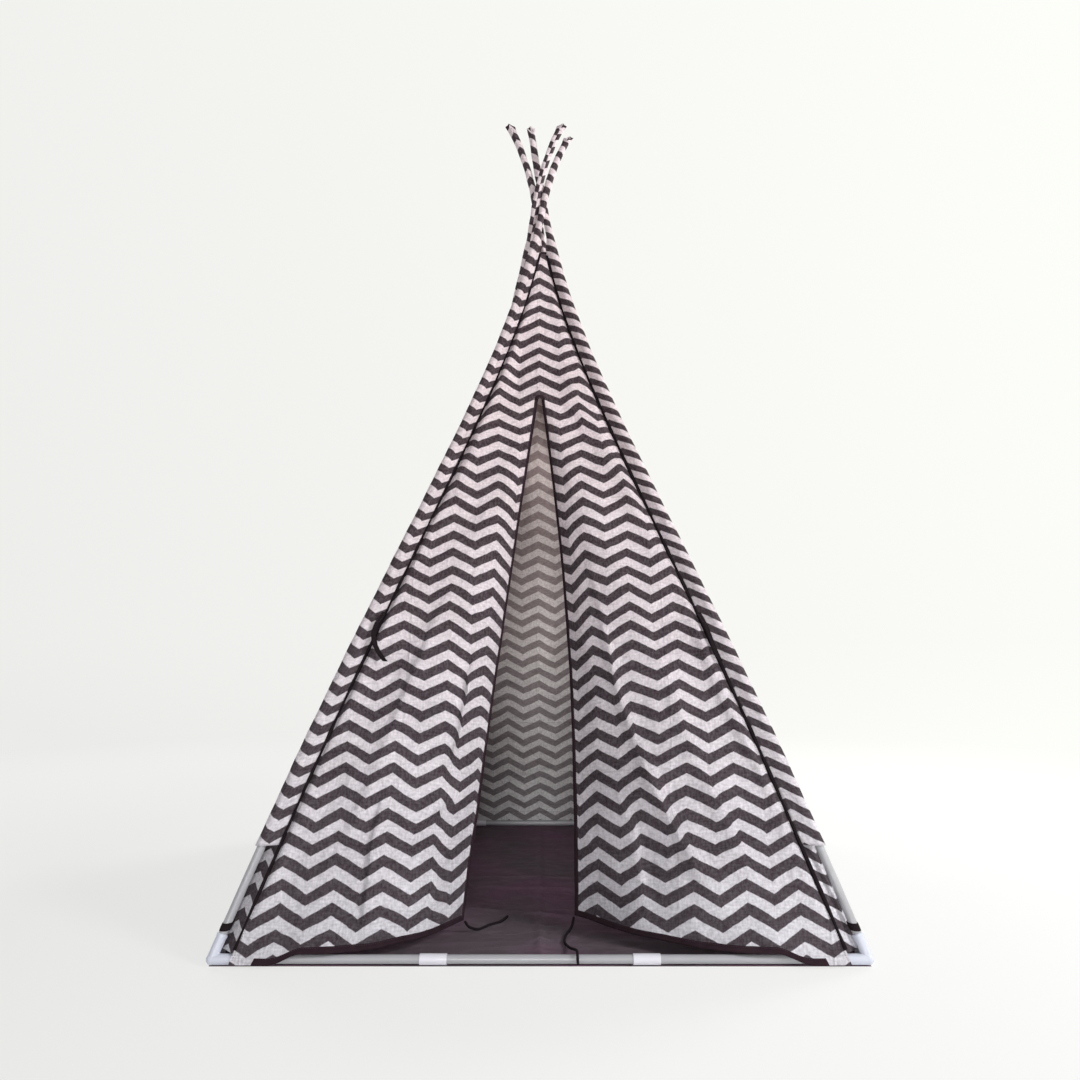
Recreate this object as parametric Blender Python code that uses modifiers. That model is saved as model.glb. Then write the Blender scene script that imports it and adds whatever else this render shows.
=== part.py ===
"""Kids teepee: a cloth cover on four crossed plastic poles, with a square base frame and a floor mat.

Metres, +Z up, the door faces -Y. The origin is on the floor, under the point where the poles cross.
"""

import math

import bmesh
import bpy
from mathutils import Matrix, Vector

for thing in list(bpy.data.objects):
    bpy.data.objects.remove(thing, do_unlink=True)

# Base frame, poles and the fits between them
base_width = 1.2  # between the axes of opposite base tubes
crossing_height = 1.755
pole_above_crossing = 0.19
tubes_per_pole = 5
bends_per_tube = 2
middle_tube_length = 0.39
tube_radius = 0.008
tube_wall = 0.0012
tube_sides = 12
fit_gap = 0.0003
weld_distance = 0.00001
butt_gap = 0.0013
joiner_length = 0.05
joiner_wall = 0.0012
socket_length = 0.045
socket_floor = 0.014
socket_wall = 0.0016
elbow_cut = 0.007
cut_overrun = 0.002
crossing_offset = 0.015  # each pole passes the middle this far to one side

# How the cloth bows the poles: the reach of a pole axis is a share of half the base width
bow_share = 0.658
bow_low_power = 2.84
bow_high_power = 1.054
crossing_slope_share = 0.5
end_bend_share = 0.03  # no other bend comes this close under the crossing
# How far each pole bends above the crossing, outward past its straight run: along x, then along y
tip_flare_shares = {
    "front_left": (3.2, 2.9),
    "front_right": (-0.3, -4.0),
    "back_left": (3.2, -5.0),
    "back_right": (3.3, -3.1),
}

# Cover and its sleeves
cloth = 0.0008
cover_hem_height = 0.006
crown_drop = 0.14  # from the crossing down to the top edge of the cover
sleeve_foot_height = 0.2
cover_offset_low = 0.0135  # from the pole axes out to the cover's faces, at the hem
cover_offset_high = -0.004  # the same at the crown
seam_gap = 0.0004
seam_width = 0.0025
sleeve_neck_rise = 0.05
sleeve_tip_length = 0.024
sleeve_tip_slant = 0.009
sleeve_tip_squash_shares = (1.3, 0.32)
sleeve_arc_points = 9
sleeve_back_points = 3
wall_columns = 16
wall_sag = 0.009
wall_fold_depth = 0.008
wall_fold_count = 3
wall_swell_power = 0.8

# Door
door_peak_height = 1.178
crease_apex_height = 1.212
crease_foot_inset = 0.07  # from the corner of the base, along the front
peak_gap = 0.0015
left_corner = Vector((-0.155, -0.434, 0.03))
right_corner = Vector((0.072, -0.401, 0.03))
flap_reach_x = 0.262  # where the hem leaves the front face, to either side of the middle
flap_bulge = 0.021
flap_hem_over_bar = 0.0255
left_edge_bow = -0.004
right_edge_bow = 0.024
flap_columns = 16
flap_rows = 8
flap_fold_depth = 0.011
flap_fold_count = 3
binding_width = 0.008
binding_thickness = 0.0014
binding_lift_share = -0.6

# Mat, loops, straps and ties
mat_margin = 0.004  # beyond the axes of the front and side tubes
mat_thickness = 0.001
loop_width = 0.014
loop_above_socket = 0.006
loop_point_power = 2
strap_width = 0.013
strap_thickness = 0.0012
strap_length = 0.118
strap_height = 0.65
strap_stand_off = 0.0021
strap_curl = 0.007
strap_curl_power = 3
strap_rows = 8
tie_radius = 0.0022
tie_points = 26
# Where each closing tie lies: the first point is its sewn end, given from the flap's free corner
left_tie_route = (
    (0.004, 0.001, -0.0035),
    (0.012, 0.008, -0.016),
    (0.03, 0.026, -0.0255),
    (0.05, 0.055, -0.0262),
    (0.073, 0.078, -0.0262),
    (0.086, 0.112, -0.0262),
)
right_tie_route = (
    (-0.003, -0.003, -0.0035),
    (-0.008, -0.018, -0.018),
    (-0.02, -0.045, -0.026),
    (-0.024, -0.085, -0.026),
    (-0.016, -0.125, -0.0225),
    (-0.008, -0.165, -0.0125),
    (-0.005, -0.195, -0.0045),
    (-0.004, -0.2075, -0.0045),
    (-0.004, -0.2102, -0.0085),
    (-0.0035, -0.2102, -0.0165),
    (-0.003, -0.2102, -0.0245),
)


def round_bore(radius):
    """The corner radius of a faceted bore whose flats clear a round of this radius by the fit gap."""
    return (radius + fit_gap) / math.cos(math.pi / tube_sides)


joiner_bore = round_bore(tube_radius)
joiner_radius = joiner_bore + joiner_wall
socket_bore = round_bore(tube_radius)
socket_radius = socket_bore + socket_wall
base_axis_height = mat_thickness + fit_gap + socket_radius
half_base = base_width / 2
pole_rise = crossing_height - base_axis_height
top_share = 1 + pole_above_crossing / pole_rise
crown_height = crossing_height - crown_drop
crease_foot_x = half_base - crease_foot_inset
corners = {
    "front_left": (-1, -1),
    "front_right": (1, -1),
    "back_left": (-1, 1),
    "back_right": (1, 1),
}

parts = bpy.data.collections.new("kids_teepee")
cutters = bpy.data.collections.new("kids_teepee_cutters")
bpy.context.scene.collection.children.link(parts)
bpy.context.scene.collection.children.link(cutters)
cutters.hide_render = True


def finish(name, colour, roughness, metallic=0.0):
    material = bpy.data.materials.new(name)
    material.use_nodes = True
    shader = material.node_tree.nodes["Principled BSDF"]
    shader.inputs["Base Color"].default_value = (*colour, 1.0)
    shader.inputs["Roughness"].default_value = roughness
    shader.inputs["Metallic"].default_value = metallic
    material.diffuse_color = (*colour, 1.0)
    return material


tube_plastic = finish("tube_plastic", (0.56, 0.56, 0.57), 0.4)
joiner_plastic = finish("joiner_plastic", (0.74, 0.75, 0.78), 0.35)
connector_plastic = finish("connector_plastic", (0.6, 0.62, 0.7), 0.35)
cover_cloth = finish("cover_cloth", (0.42, 0.38, 0.4), 0.85)
sleeve_cloth = finish("sleeve_cloth", (0.38, 0.34, 0.36), 0.85)
trim_tape = finish("trim_tape", (0.045, 0.03, 0.035), 0.9)
mat_cloth = finish("mat_cloth", (0.065, 0.038, 0.055), 0.8)


def add_object(name, mesh, material, collection=parts):
    mesh.materials.clear()
    if material:
        mesh.materials.append(material)
    made = bpy.data.objects.new(name, mesh)
    collection.objects.link(made)
    return made


def from_bmesh(name, shape, material, collection=parts):
    mesh = bpy.data.meshes.new(name)
    shape.to_mesh(mesh)
    shape.free()
    return add_object(name, mesh, material, collection)


def shade_round(made):
    made.data.shade_smooth()
    made.data.set_sharp_from_angle(angle=math.radians(40))


def add_wall(made, thickness, offset=-1.0):
    wall = made.modifiers.new("wall", "SOLIDIFY")
    wall.thickness = thickness
    wall.offset = offset
    return wall


# Pole axes


def reach_share(t, flare_share):
    """How far a pole is from the middle, as a share of half the base; t is 0 below and 1 at the crossing."""
    if t <= 1:
        return (1 - t) * (1 - bow_share * t**bow_low_power * (1 - t) ** (bow_high_power - 1))
    over = t - 1
    return -(crossing_slope_share * over + flare_share * over**2)


def pole_axis(corner, t):
    side_x, side_y = corners[corner]
    reach_x, reach_y = [half_base * reach_share(t, flare) for flare in tip_flare_shares[corner]]
    aside = crossing_offset * min(t, 1) / math.sqrt(2)
    return Vector(
        (
            side_x * reach_x - side_y * aside,
            side_y * reach_y + side_x * aside,
            base_axis_height + t * pole_rise,
        )
    )


def even_shares(corner, count):
    """Shares t that divide a pole into stretches of equal length."""
    samples = 40 * count
    points = [pole_axis(corner, top_share * i / samples) for i in range(samples + 1)]
    run = [0.0]
    for low, high in zip(points, points[1:]):
        run.append(run[-1] + (high - low).length)
    shares = []
    place = 0
    for i in range(count + 1):
        target = run[-1] * i / count
        while place < samples - 1 and run[place + 1] < target:
            place += 1
        part = (target - run[place]) / (run[place + 1] - run[place])
        shares.append(top_share * (place + part) / samples)
    return shares


bend_shares = even_shares("front_left", tubes_per_pole * bends_per_tube)
below_crossing = [t for t in bend_shares if t < 1 - end_bend_share]
bend_shares = [*below_crossing, 1.0, (1 + top_share) / 2, top_share]
pole_lines = {corner: [pole_axis(corner, t) for t in bend_shares] for corner in corners}
bend_heights = [point.z for point in pole_lines["front_left"]]


def pole_at(corner, height):
    """The point of a pole's axis at a height; past its ends the axis runs straight on."""
    line = pole_lines[corner]
    for low, high in zip(line, line[1:]):
        if height <= high.z:
            break
    return low.lerp(high, (height - low.z) / (high.z - low.z))


def pole_lean(corner, height):
    """Cosine of the angle between a pole's axis and the vertical."""
    step = butt_gap
    along = pole_at(corner, height + step) - pole_at(corner, height - step)
    return along.normalized().z


def cut_back(points, start, end):
    """A polyline made shorter by a distance at each end."""
    first = points[0] + (points[1] - points[0]).normalized() * start
    last = points[-1] + (points[-2] - points[-1]).normalized() * end
    return [first, *points[1:-1], last]


def around(points, index, reach):
    """The stretch of a polyline within reach of one of its points."""
    middle = points[index]
    before = middle + (points[index - 1] - middle).normalized() * reach
    after = middle + (points[index + 1] - middle).normalized() * reach
    return [before, middle, after]


# Tubes, joiners and corner connectors


def swept(name, points, radius, caps, material, collection=parts):
    """A round sweep along a polyline: an open skin, or a solid where it has caps."""
    curve = bpy.data.curves.new(name, "CURVE")
    curve.dimensions = "3D"
    curve.twist_mode = "Z_UP"
    curve.bevel_depth = radius
    curve.bevel_resolution = tube_sides // 2 - 2
    curve.use_fill_caps = caps
    spline = curve.splines.new("POLY")
    spline.points.add(len(points) - 1)
    for place, point in zip(spline.points, points):
        place.co = (*point, 1)
    guide = bpy.data.objects.new(name + "_guide", curve)
    parts.objects.link(guide)
    graph = bpy.context.evaluated_depsgraph_get()
    mesh = bpy.data.meshes.new_from_object(guide.evaluated_get(graph))
    bpy.data.objects.remove(guide, do_unlink=True)
    bpy.data.curves.remove(curve)
    shape = bmesh.new()
    shape.from_mesh(mesh)
    bpy.data.meshes.remove(mesh)
    bmesh.ops.remove_doubles(shape, verts=shape.verts, dist=weld_distance)
    if caps:
        bmesh.ops.recalc_face_normals(shape, faces=shape.faces)
    made = from_bmesh(name, shape, material, collection)
    shade_round(made)
    if collection is cutters:
        made.display_type = "WIRE"
        made.hide_render = True
    return made


def add_boolean(made, other, operation):
    step = made.modifiers.new(other.name, "BOOLEAN")
    step.operation = operation
    step.object = other


def plain_tube(name, points):
    """A tube that is open at both ends."""
    made = swept(name, points, tube_radius, False, tube_plastic)
    add_wall(made, tube_wall)
    return made


def jointed_tube(name, points, beyond):
    """A tube with its joiner on its far end: points end at the joint, and beyond lies on the next tube."""
    joint = points[-1]
    back = (points[-2] - joint).normalized()
    ahead = (beyond - joint).normalized()
    outward = (points[0] - points[1]).normalized()
    half = joiner_length / 2
    made = swept(name, points, tube_radius, True, tube_plastic)
    collar = [joint + back * half, joint, joint + ahead * half]
    bore = [points[0] + outward * cut_overrun, *points[1:]]
    socket = [joint + back * butt_gap / 2, joint, joint + ahead * (half + cut_overrun)]
    add_boolean(made, swept(name + "_collar", collar, joiner_radius, True, None, cutters), "UNION")
    bore_radius = tube_radius - tube_wall
    add_boolean(made, swept(name + "_bore", bore, bore_radius, True, None, cutters), "DIFFERENCE")
    add_boolean(made, swept(name + "_socket", socket, joiner_bore, True, None, cutters), "DIFFERENCE")
    return made


for corner in corners:
    line = pole_lines[corner]
    for number in range(tubes_per_pole):
        start = number * bends_per_tube
        last = number == tubes_per_pole - 1
        run = line[start:] if last else line[start : start + bends_per_tube + 1]
        low_cut = socket_floor + fit_gap if number == 0 else butt_gap / 2
        name = f"pole_{corner}_tube_{number + 1}"
        if last:
            plain_tube(name, cut_back(run, low_cut, 0))
        else:
            jointed_tube(name, cut_back(run, low_cut, 0), line[start + bends_per_tube + 1])

side_ends = {
    "front": ((-1, -1), (1, -1), "left", "right"),
    "back": ((-1, 1), (1, 1), "left", "right"),
    "left": ((-1, -1), (-1, 1), "front", "back"),
    "right": ((1, -1), (1, 1), "front", "back"),
}
end_tube_share = (base_width - middle_tube_length) / (2 * base_width)
for side, (start, end, start_label, end_label) in side_ends.items():
    start, end = [Vector((x * half_base, y * half_base, base_axis_height)) for x, y in (start, end)]
    middle = (start + end) / 2
    joints = []
    for near, label in ((start, start_label), (end, end_label)):
        joint = near.lerp(middle, 2 * end_tube_share)
        joints.append(joint)
        run = cut_back([near, joint], socket_floor + fit_gap, 0)
        jointed_tube(f"base_{side}_tube_{label}", run, middle)
    plain_tube(f"base_{side}_tube_middle", cut_back(joints, butt_gap / 2, butt_gap / 2))


def corner_connector(corner):
    """A moulded corner: an elbow with two base sockets, and a third socket that follows the pole."""
    side_x, side_y = corners[corner]
    middle = pole_lines[corner][0]
    along_x = Vector((-side_x, 0, 0))
    along_y = Vector((0, -side_y, 0))
    up_pole = (pole_lines[corner][1] - middle).normalized()
    elbow = [
        middle + along_x * socket_length,
        middle + along_x * elbow_cut,
        middle + along_y * elbow_cut,
        middle + along_y * socket_length,
    ]
    body = swept(f"corner_connector_{corner}", elbow, socket_radius, True, connector_plastic)
    upright = [middle, middle + up_pole * socket_length]
    add_boolean(body, swept(f"{corner}_upright", upright, socket_radius, True, None, cutters), "UNION")
    for label, direction in (("x", along_x), ("y", along_y), ("pole", up_pole)):
        bore = [middle + direction * socket_floor, middle + direction * (socket_length + cut_overrun)]
        cutter = swept(f"{corner}_bore_{label}", bore, socket_bore, True, None, cutters)
        add_boolean(body, cutter, "DIFFERENCE")


for corner in corners:
    corner_connector(corner)

# Cover: where its walls and sleeves meet round each pole

strip_distance = max(socket_radius, joiner_radius) + 2 * fit_gap + cloth


def cover_offset(height):
    share = (height - cover_hem_height) / (crown_height - cover_hem_height)
    return cover_offset_low + share * (cover_offset_high - cover_offset_low)


def seam_inset(height):
    """How far a seam lies from its pole's axis along the wall, so that the inner strip clears the pole."""
    lean = pole_lean("front_left", base_axis_height + butt_gap)
    return cover_offset(height) + math.sqrt(2) * strip_distance / lean


def front_seam(corner, height):
    """The seam beside a pole on the front or back wall."""
    side_x, side_y = corners[corner]
    axis = pole_at(corner, height)
    inward = seam_inset(height)
    return axis + Vector((-side_x * inward, side_y * cover_offset(height), 0))


def side_seam(corner, height):
    """The seam beside a pole on the left or right wall."""
    side_x, side_y = corners[corner]
    axis = pole_at(corner, height)
    inward = seam_inset(height)
    return axis + Vector((side_x * cover_offset(height), -side_y * inward, 0))


def heights_between(low, high, steps=1):
    """The heights at which the poles bend, with the two ends, each stretch divided evenly."""
    marks = [low, *[z for z in bend_heights if low + cloth < z < high - cloth], high]
    heights = []
    for below, above in zip(marks, marks[1:]):
        heights += [below + (above - below) * i / steps for i in range(steps)]
    return [*heights, high]


def cloth_panel(name, rows, material, thickness=cloth, offset=-1.0):
    """A sheet through rows of points, with its thickness on the inner side."""
    shape = bmesh.new()
    grid = [[shape.verts.new(point) for point in row] for row in rows]
    for low, high in zip(grid, grid[1:]):
        for i in range(len(low) - 1):
            shape.faces.new((low[i], low[i + 1], high[i + 1], high[i]))
    shape.normal_update()
    facing = Vector()
    for face in shape.faces:
        middle = face.calc_center_median()
        outward = Vector((middle.x, middle.y, 0))
        facing.z += face.normal.dot(outward)
    if facing.z < 0:
        bmesh.ops.reverse_faces(shape, faces=shape.faces)
    made = from_bmesh(name, shape, material)
    add_wall(made, thickness, offset)
    made.data.shade_smooth()
    return made


def wall_row(start, end, columns, shift):
    """Points from one seam to another, held off both by the seam gap and moved outward by shift."""
    along = (end - start).normalized()
    outward = Vector((along.y, -along.x, 0)).normalized()
    if outward.dot(start + end) < 0:
        outward = -outward
    start = start + along * seam_gap
    end = end - along * seam_gap
    row = []
    for i in range(columns + 1):
        share = i / columns
        row.append(start.lerp(end, share) + outward * shift(share))
    return row


def wall_shift(height, phase):
    """Sag and soft folds of a wall at one height: none at its seams, its hem or its crown."""
    rise = (height - cover_hem_height) / (crown_height - cover_hem_height)
    swell = math.sin(math.pi * rise) ** wall_swell_power if 0 < rise < 1 else 0.0

    def shift(share):
        across = math.sin(math.pi * share)
        fold = math.sin(2 * math.pi * wall_fold_count * share + phase + 2 * rise)
        return swell * across * (wall_fold_depth * fold * (1 - rise) - wall_sag)

    return shift


wall_seams = {
    "back_wall": (front_seam, "back_left", "back_right", 0.4),
    "left_wall": (side_seam, "front_left", "back_left", 1.7),
    "right_wall": (side_seam, "front_right", "back_right", 2.9),
}
for name, (seam, start, end, phase) in wall_seams.items():
    cloth_panel(
        name,
        [
            wall_row(seam(start, z), seam(end, z), wall_columns, wall_shift(z, phase))
            for z in heights_between(cover_hem_height, crown_height)
        ],
        cover_cloth,
    )


def front_middle(height):
    return (front_seam("front_left", height) + front_seam("front_right", height)) / 2


apex = Vector((0, front_middle(crease_apex_height).y, crease_apex_height))


def crease_foot(side):
    low = front_middle(cover_hem_height)
    return Vector((side * crease_foot_x, low.y, cover_hem_height))


def crease_at(side, height):
    foot = crease_foot(side)
    return apex.lerp(foot, (apex.z - height) / (apex.z - foot.z))


cloth_panel(
    "front_wall_top",
    [
        wall_row(front_seam("front_left", z), front_seam("front_right", z), 4, lambda share: 0.0)
        for z in heights_between(door_peak_height, crown_height)
    ],
    cover_cloth,
)
for label, side in (("left", -1), ("right", 1)):
    rows = []
    for z in heights_between(cover_hem_height, door_peak_height - seam_gap):
        seam = front_seam(f"front_{label}", z)
        rows.append(wall_row(seam, crease_at(side, z), 2, lambda share: 0.0))
    cloth_panel(f"front_wall_{label}", rows, cover_cloth)

# Door flaps: each is a cone of cloth from the peak to its curling hem


def ease(low, high, value):
    share = min(1.0, max(0.0, (value - low) / (high - low)))
    return share * share * (3 - 2 * share)


flap_corners = {-1: left_corner, 1: right_corner}
edge_bows = {-1: left_edge_bow, 1: right_edge_bow}
# Shares of the hem, from the crease, over which it climbs the front base tube
hem_climb_shares = (0.06, 0.19)
fold_start_shares = (0.4, 0.65)


def hem_point(side, across):
    """A point of a flap's hem: across is 0 at the crease and 1 at the free corner."""
    foot = crease_foot(side)
    corner = flap_corners[side]
    bend = Vector((side * flap_reach_x, foot.y - flap_bulge, 0))
    point = foot * (1 - across) ** 2 + bend * 2 * across * (1 - across) + corner * across**2
    climb = ease(*hem_climb_shares, across)
    point.z = cover_hem_height + climb * (flap_hem_over_bar - cover_hem_height)
    point.z += (corner.z - flap_hem_over_bar) * max(0.0, across - 0.5) * 2
    return point


def flap_point(side, across, down):
    """A point of a flap: down is 0 at the apex and 1 at the hem."""
    point = apex.lerp(hem_point(side, across), down)
    point.x += edge_bows[side] * across**2 * math.sin(math.pi * down)
    ripple = math.sin(2 * math.pi * flap_fold_count * across)
    point.y -= flap_fold_depth * down * ease(*fold_start_shares, across) * ripple
    return point


def hem_length(side):
    points = [hem_point(side, i / 20) for i in range(21)]
    return sum((b - a).length for a, b in zip(points, points[1:]))


flap_height = (crease_foot(-1) - apex).length
binding_down_share = binding_width / flap_height
gap_down_share = seam_gap / flap_height
peak_share = (apex.z - door_peak_height + peak_gap) / (apex.z - left_corner.z)
hinges = {}
for label, side in (("left", -1), ("right", 1)):
    width = hem_length(side)
    hinge = bpy.data.objects.new(f"door_flap_{label}_hinge", None)
    hinge.location = apex.lerp(crease_foot(side), 0.5)
    parts.objects.link(hinge)
    hinges[side] = hinge
    bottom = 1 - binding_down_share - gap_down_share
    downs = [peak_share + (bottom - peak_share) * i / flap_rows for i in range(flap_rows + 1)]
    rows = []
    for down in downs:
        first = fit_gap / (width * down)
        last = 1 - (binding_width + seam_gap) / (width * down)
        last = max(last, first * 2)
        steps = [first + (last - first) * i / flap_columns for i in range(flap_columns + 1)]
        rows.append([flap_point(side, across, down) for across in steps])
    flap = cloth_panel(f"door_flap_{label}", rows, cover_cloth)
    inner_across = 1 - binding_width / width
    edge = []
    for down in downs:
        inner = max(1 - binding_width / (width * down), 0.0)
        edge.append([flap_point(side, inner, down), flap_point(side, 1, down)])
    inner_down = 1 - binding_down_share
    edge.append([flap_point(side, inner_across, inner_down), flap_point(side, 1, 1)])
    first = fit_gap / width
    last = 1 - (binding_width + seam_gap) / width
    for i in range(flap_columns, -1, -1):
        across = first + (last - first) * i / flap_columns
        edge.append([flap_point(side, across, inner_down), flap_point(side, across, 1)])
    binding = cloth_panel(f"door_binding_{label}", edge, trim_tape, binding_thickness, binding_lift_share)
    for piece in (flap, binding):
        piece.parent = hinge
        piece.matrix_parent_inverse = Matrix.Translation(-hinge.location)


# Sleeves: cloth tunnels round the poles, whose inner layer runs on behind each pole to the base


def two_skins(name, outer, inner, material, kept):
    """A solid between two grids of paired points. The rows are closed, and only kept cells are made."""
    shape = bmesh.new()
    skins = [[[shape.verts.new(point) for point in row] for row in grid] for grid in (outer, inner)]
    around_row = len(outer[0])
    cells = {(i, j) for i in range(len(outer) - 1) for j in range(around_row) if kept(i, j)}
    outside, inside = skins
    for i, j in cells:
        k = (j + 1) % around_row
        for skin in skins:
            shape.faces.new((skin[i][j], skin[i][k], skin[i + 1][k], skin[i + 1][j]))
        rims = {
            (i - 1, j): ((i, j), (i, k)),
            (i + 1, j): ((i + 1, j), (i + 1, k)),
            (i, (j - 1) % around_row): ((i, j), (i + 1, j)),
            (i, k): ((i, k), (i + 1, k)),
        }
        for neighbour, ((a, b), (c, d)) in rims.items():
            if neighbour not in cells:
                shape.faces.new((outside[a][b], outside[c][d], inside[c][d], inside[a][b]))
    loose = [vert for vert in shape.verts if not vert.link_faces]
    bmesh.ops.delete(shape, geom=loose, context="VERTS")
    bmesh.ops.recalc_face_normals(shape, faces=shape.faces)
    made = from_bmesh(name, shape, material)
    shade_round(made)
    return made


ring_count = sleeve_arc_points + sleeve_back_points + 2
last_joint = pole_lines["front_left"][bends_per_tube * (tubes_per_pole - 1)]
neck_foot_height = max(crown_height, last_joint.z + joiner_length / 2 + butt_gap)
neck_height = neck_foot_height + sleeve_neck_rise
pole_top = pole_lines["front_left"][-1].z + tube_radius  # clear of the slanting ends of the tubes
eighth_turn = math.pi / 4


def seam_from_pole(height):
    """The front seam from the pole's axis: inward along the wall, then inward from it."""
    return Vector((seam_inset(height), cloth / 2 - cover_offset(height)))


def ring_turns(height):
    """The angles of a section's points from its outermost one, and the step between the round side's."""
    seam = seam_from_pole(height)
    half_span = 3 * eighth_turn + math.atan2(seam.y, seam.x)
    step = 2 * half_span / (sleeve_arc_points + 1)
    back = 2 * (math.pi - half_span) / (sleeve_back_points + 1)
    turns = [step * (i + 1) - half_span for i in range(sleeve_arc_points + 1)]
    turns += [half_span + back * (i + 1) for i in range(sleeve_back_points + 1)]
    return turns, step


def tunnel_section(corner, height):
    """Angles and the outer and inner radii of a tunnel's section: a round, drawn out to its two seams."""
    seam = seam_from_pole(height)
    turns, step = ring_turns(height)
    inner = (joiner_radius + fit_gap) / pole_lean(corner, height) / math.cos(step / 2)
    outer = inner + cloth
    half_span = turns[sleeve_arc_points]
    straight_from = half_span - math.acos(min(1.0, outer / seam.length))
    back_distance = (seam.x + seam.y) / math.sqrt(2)
    section = []
    for i, turn in enumerate(turns):
        angle = 5 * eighth_turn + turn
        if i in (sleeve_arc_points, ring_count - 1):
            section.append((angle, seam.length, seam.length - seam_width))
        elif i < sleeve_arc_points:
            stretch = 1 / math.cos(max(0.0, abs(turn) - straight_from))
            section.append((angle, outer * stretch, inner * stretch))
        else:
            stretch = 1 / math.cos(turn - math.pi)
            section.append((angle, back_distance * stretch, (back_distance - cloth) * stretch))
    return section


def round_section(corner, height):
    """The sleeve's section above the cover, which is round."""
    turns, step = ring_turns(crown_height)
    inner = (tube_radius + fit_gap) / pole_lean(corner, height) / math.cos(step / 2)
    return [(5 * eighth_turn + turn, inner + cloth, inner) for turn in turns]


def tip_section(corner):
    """The squashed open end of a sleeve."""
    wide, thin = sleeve_tip_squash_shares
    section = []
    for angle, outer, inner in round_section(corner, pole_top):
        squash = 1 / math.hypot(math.cos(angle) / wide, math.sin(angle) / thin)
        section.append((angle, outer * squash, outer * squash - cloth))
    return section


def blended(first, second, share):
    return [tuple(a + (b - a) * share for a, b in zip(low, high)) for low, high in zip(first, second)]


def sleeve_section(corner, height):
    if height <= neck_foot_height:
        return tunnel_section(corner, height)
    if height < neck_height:
        share = (height - neck_foot_height) / sleeve_neck_rise
        return blended(tunnel_section(corner, neck_foot_height), round_section(corner, neck_height), share)
    if height <= pole_top:
        return round_section(corner, height)
    share = (height - pole_top) / sleeve_tip_length
    return blended(round_section(corner, pole_top), tip_section(corner), share)


def placed(corner, height, section, slant=0.0):
    """The outer and inner points of a section, set square to the corner of the frame that it stands over."""
    side_x, side_y = corners[corner]
    outer, inner = [], []
    for angle, outer_radius, inner_radius in section:
        centre = pole_at(corner, height + slant * math.sin(angle))
        direction = Vector((-side_x * math.cos(angle), -side_y * math.sin(angle), 0))
        outer.append(centre + direction * outer_radius)
        inner.append(centre + direction * inner_radius)
    return outer, inner


strip_foot_height = base_axis_height + socket_radius + butt_gap
strip_heights = heights_between(strip_foot_height, sleeve_foot_height)
sleeve_heights = [
    *strip_heights,
    *heights_between(sleeve_foot_height, neck_foot_height)[1:],
    *heights_between(neck_foot_height, neck_height)[1:],
    *heights_between(neck_height, pole_top)[1:],
    pole_top + sleeve_tip_length,
]


def in_tunnel(i, j):
    return i >= len(strip_heights) - 1 or sleeve_arc_points <= j < ring_count - 1


for corner in corners:
    rows = []
    for height in sleeve_heights:
        slant = sleeve_tip_slant if height > pole_top else 0.0
        rows.append(placed(corner, height, sleeve_section(corner, height), slant))
    outer = [row[0] for row in rows]
    inner = [row[1] for row in rows]
    two_skins(f"pole_sleeve_{corner}", outer, inner, sleeve_cloth, in_tunnel)

# A loop at each corner ties the end of the sleeve's inner layer to the pole, just above its socket
for corner in corners:
    lean = pole_lean(corner, strip_foot_height)
    low = base_axis_height + (socket_length + loop_above_socket) * lean
    rows = []
    for height in (low, low + loop_width):
        turns, step = ring_turns(height)
        inner = (tube_radius + fit_gap) / lean / math.cos(step / 2)
        seam = seam_from_pole(height)
        reach = (seam.x + seam.y) / math.sqrt(2) - cloth - fit_gap
        section = []
        for turn in turns:
            toward_strip = -math.cos(turn)
            outer = max(inner + cloth, reach * toward_strip**loop_point_power if toward_strip > 0 else 0.0)
            section.append((5 * eighth_turn + turn, outer, inner))
        rows.append(placed(corner, height, section))
    outer = [row[0] for row in rows]
    inner = [row[1] for row in rows]
    two_skins(f"corner_loop_{corner}", outer, inner, trim_tape, lambda i, j: True)

# Floor mat: it reaches as far behind the middle as the flaps' hems reach before it
hem_samples = [hem_point(side, i / flap_columns) for side in (-1, 1) for i in range(flap_columns + 1)]
hem_reach = max(-point.y for point in hem_samples) + binding_thickness * (1 + binding_lift_share) / 2
mat_sides = half_base + mat_margin
shape = bmesh.new()
bmesh.ops.create_cube(shape, size=1.0)
shape.transform(Matrix.Diagonal((2 * mat_sides, mat_sides + hem_reach, mat_thickness, 1.0)))
shape.transform(Matrix.Translation((0, (hem_reach - mat_sides) / 2, mat_thickness / 2)))
from_bmesh("floor_mat", shape, mat_cloth)

# Tie-back straps: sewn to the front seams and hanging down over them
for label, side in (("left", -1), ("right", 1)):
    corner = f"front_{label}"
    hinge = bpy.data.objects.new(f"tie_back_{label}_hinge", None)
    hinge.location = front_seam(corner, strap_height) - Vector((0, strap_stand_off, 0))
    parts.objects.link(hinge)
    drop = strap_length * pole_lean(corner, strap_height)
    rows = []
    for i in range(strap_rows + 1):
        share = i / strap_rows
        seam = front_seam(corner, strap_height - drop * share)
        lift = strap_thickness + strap_stand_off + strap_curl * share**strap_curl_power
        middle = seam - Vector((0, lift, 0))
        half = Vector((strap_width / 2, 0, 0))
        rows.append([middle - half, middle + half])
    strap = cloth_panel(f"tie_back_strap_{label}", rows, trim_tape, strap_thickness)
    strap.parent = hinge
    strap.matrix_parent_inverse = Matrix.Translation(-hinge.location)


# Closing ties: cords sewn to the free corners of the flaps, lying on the mat


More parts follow.
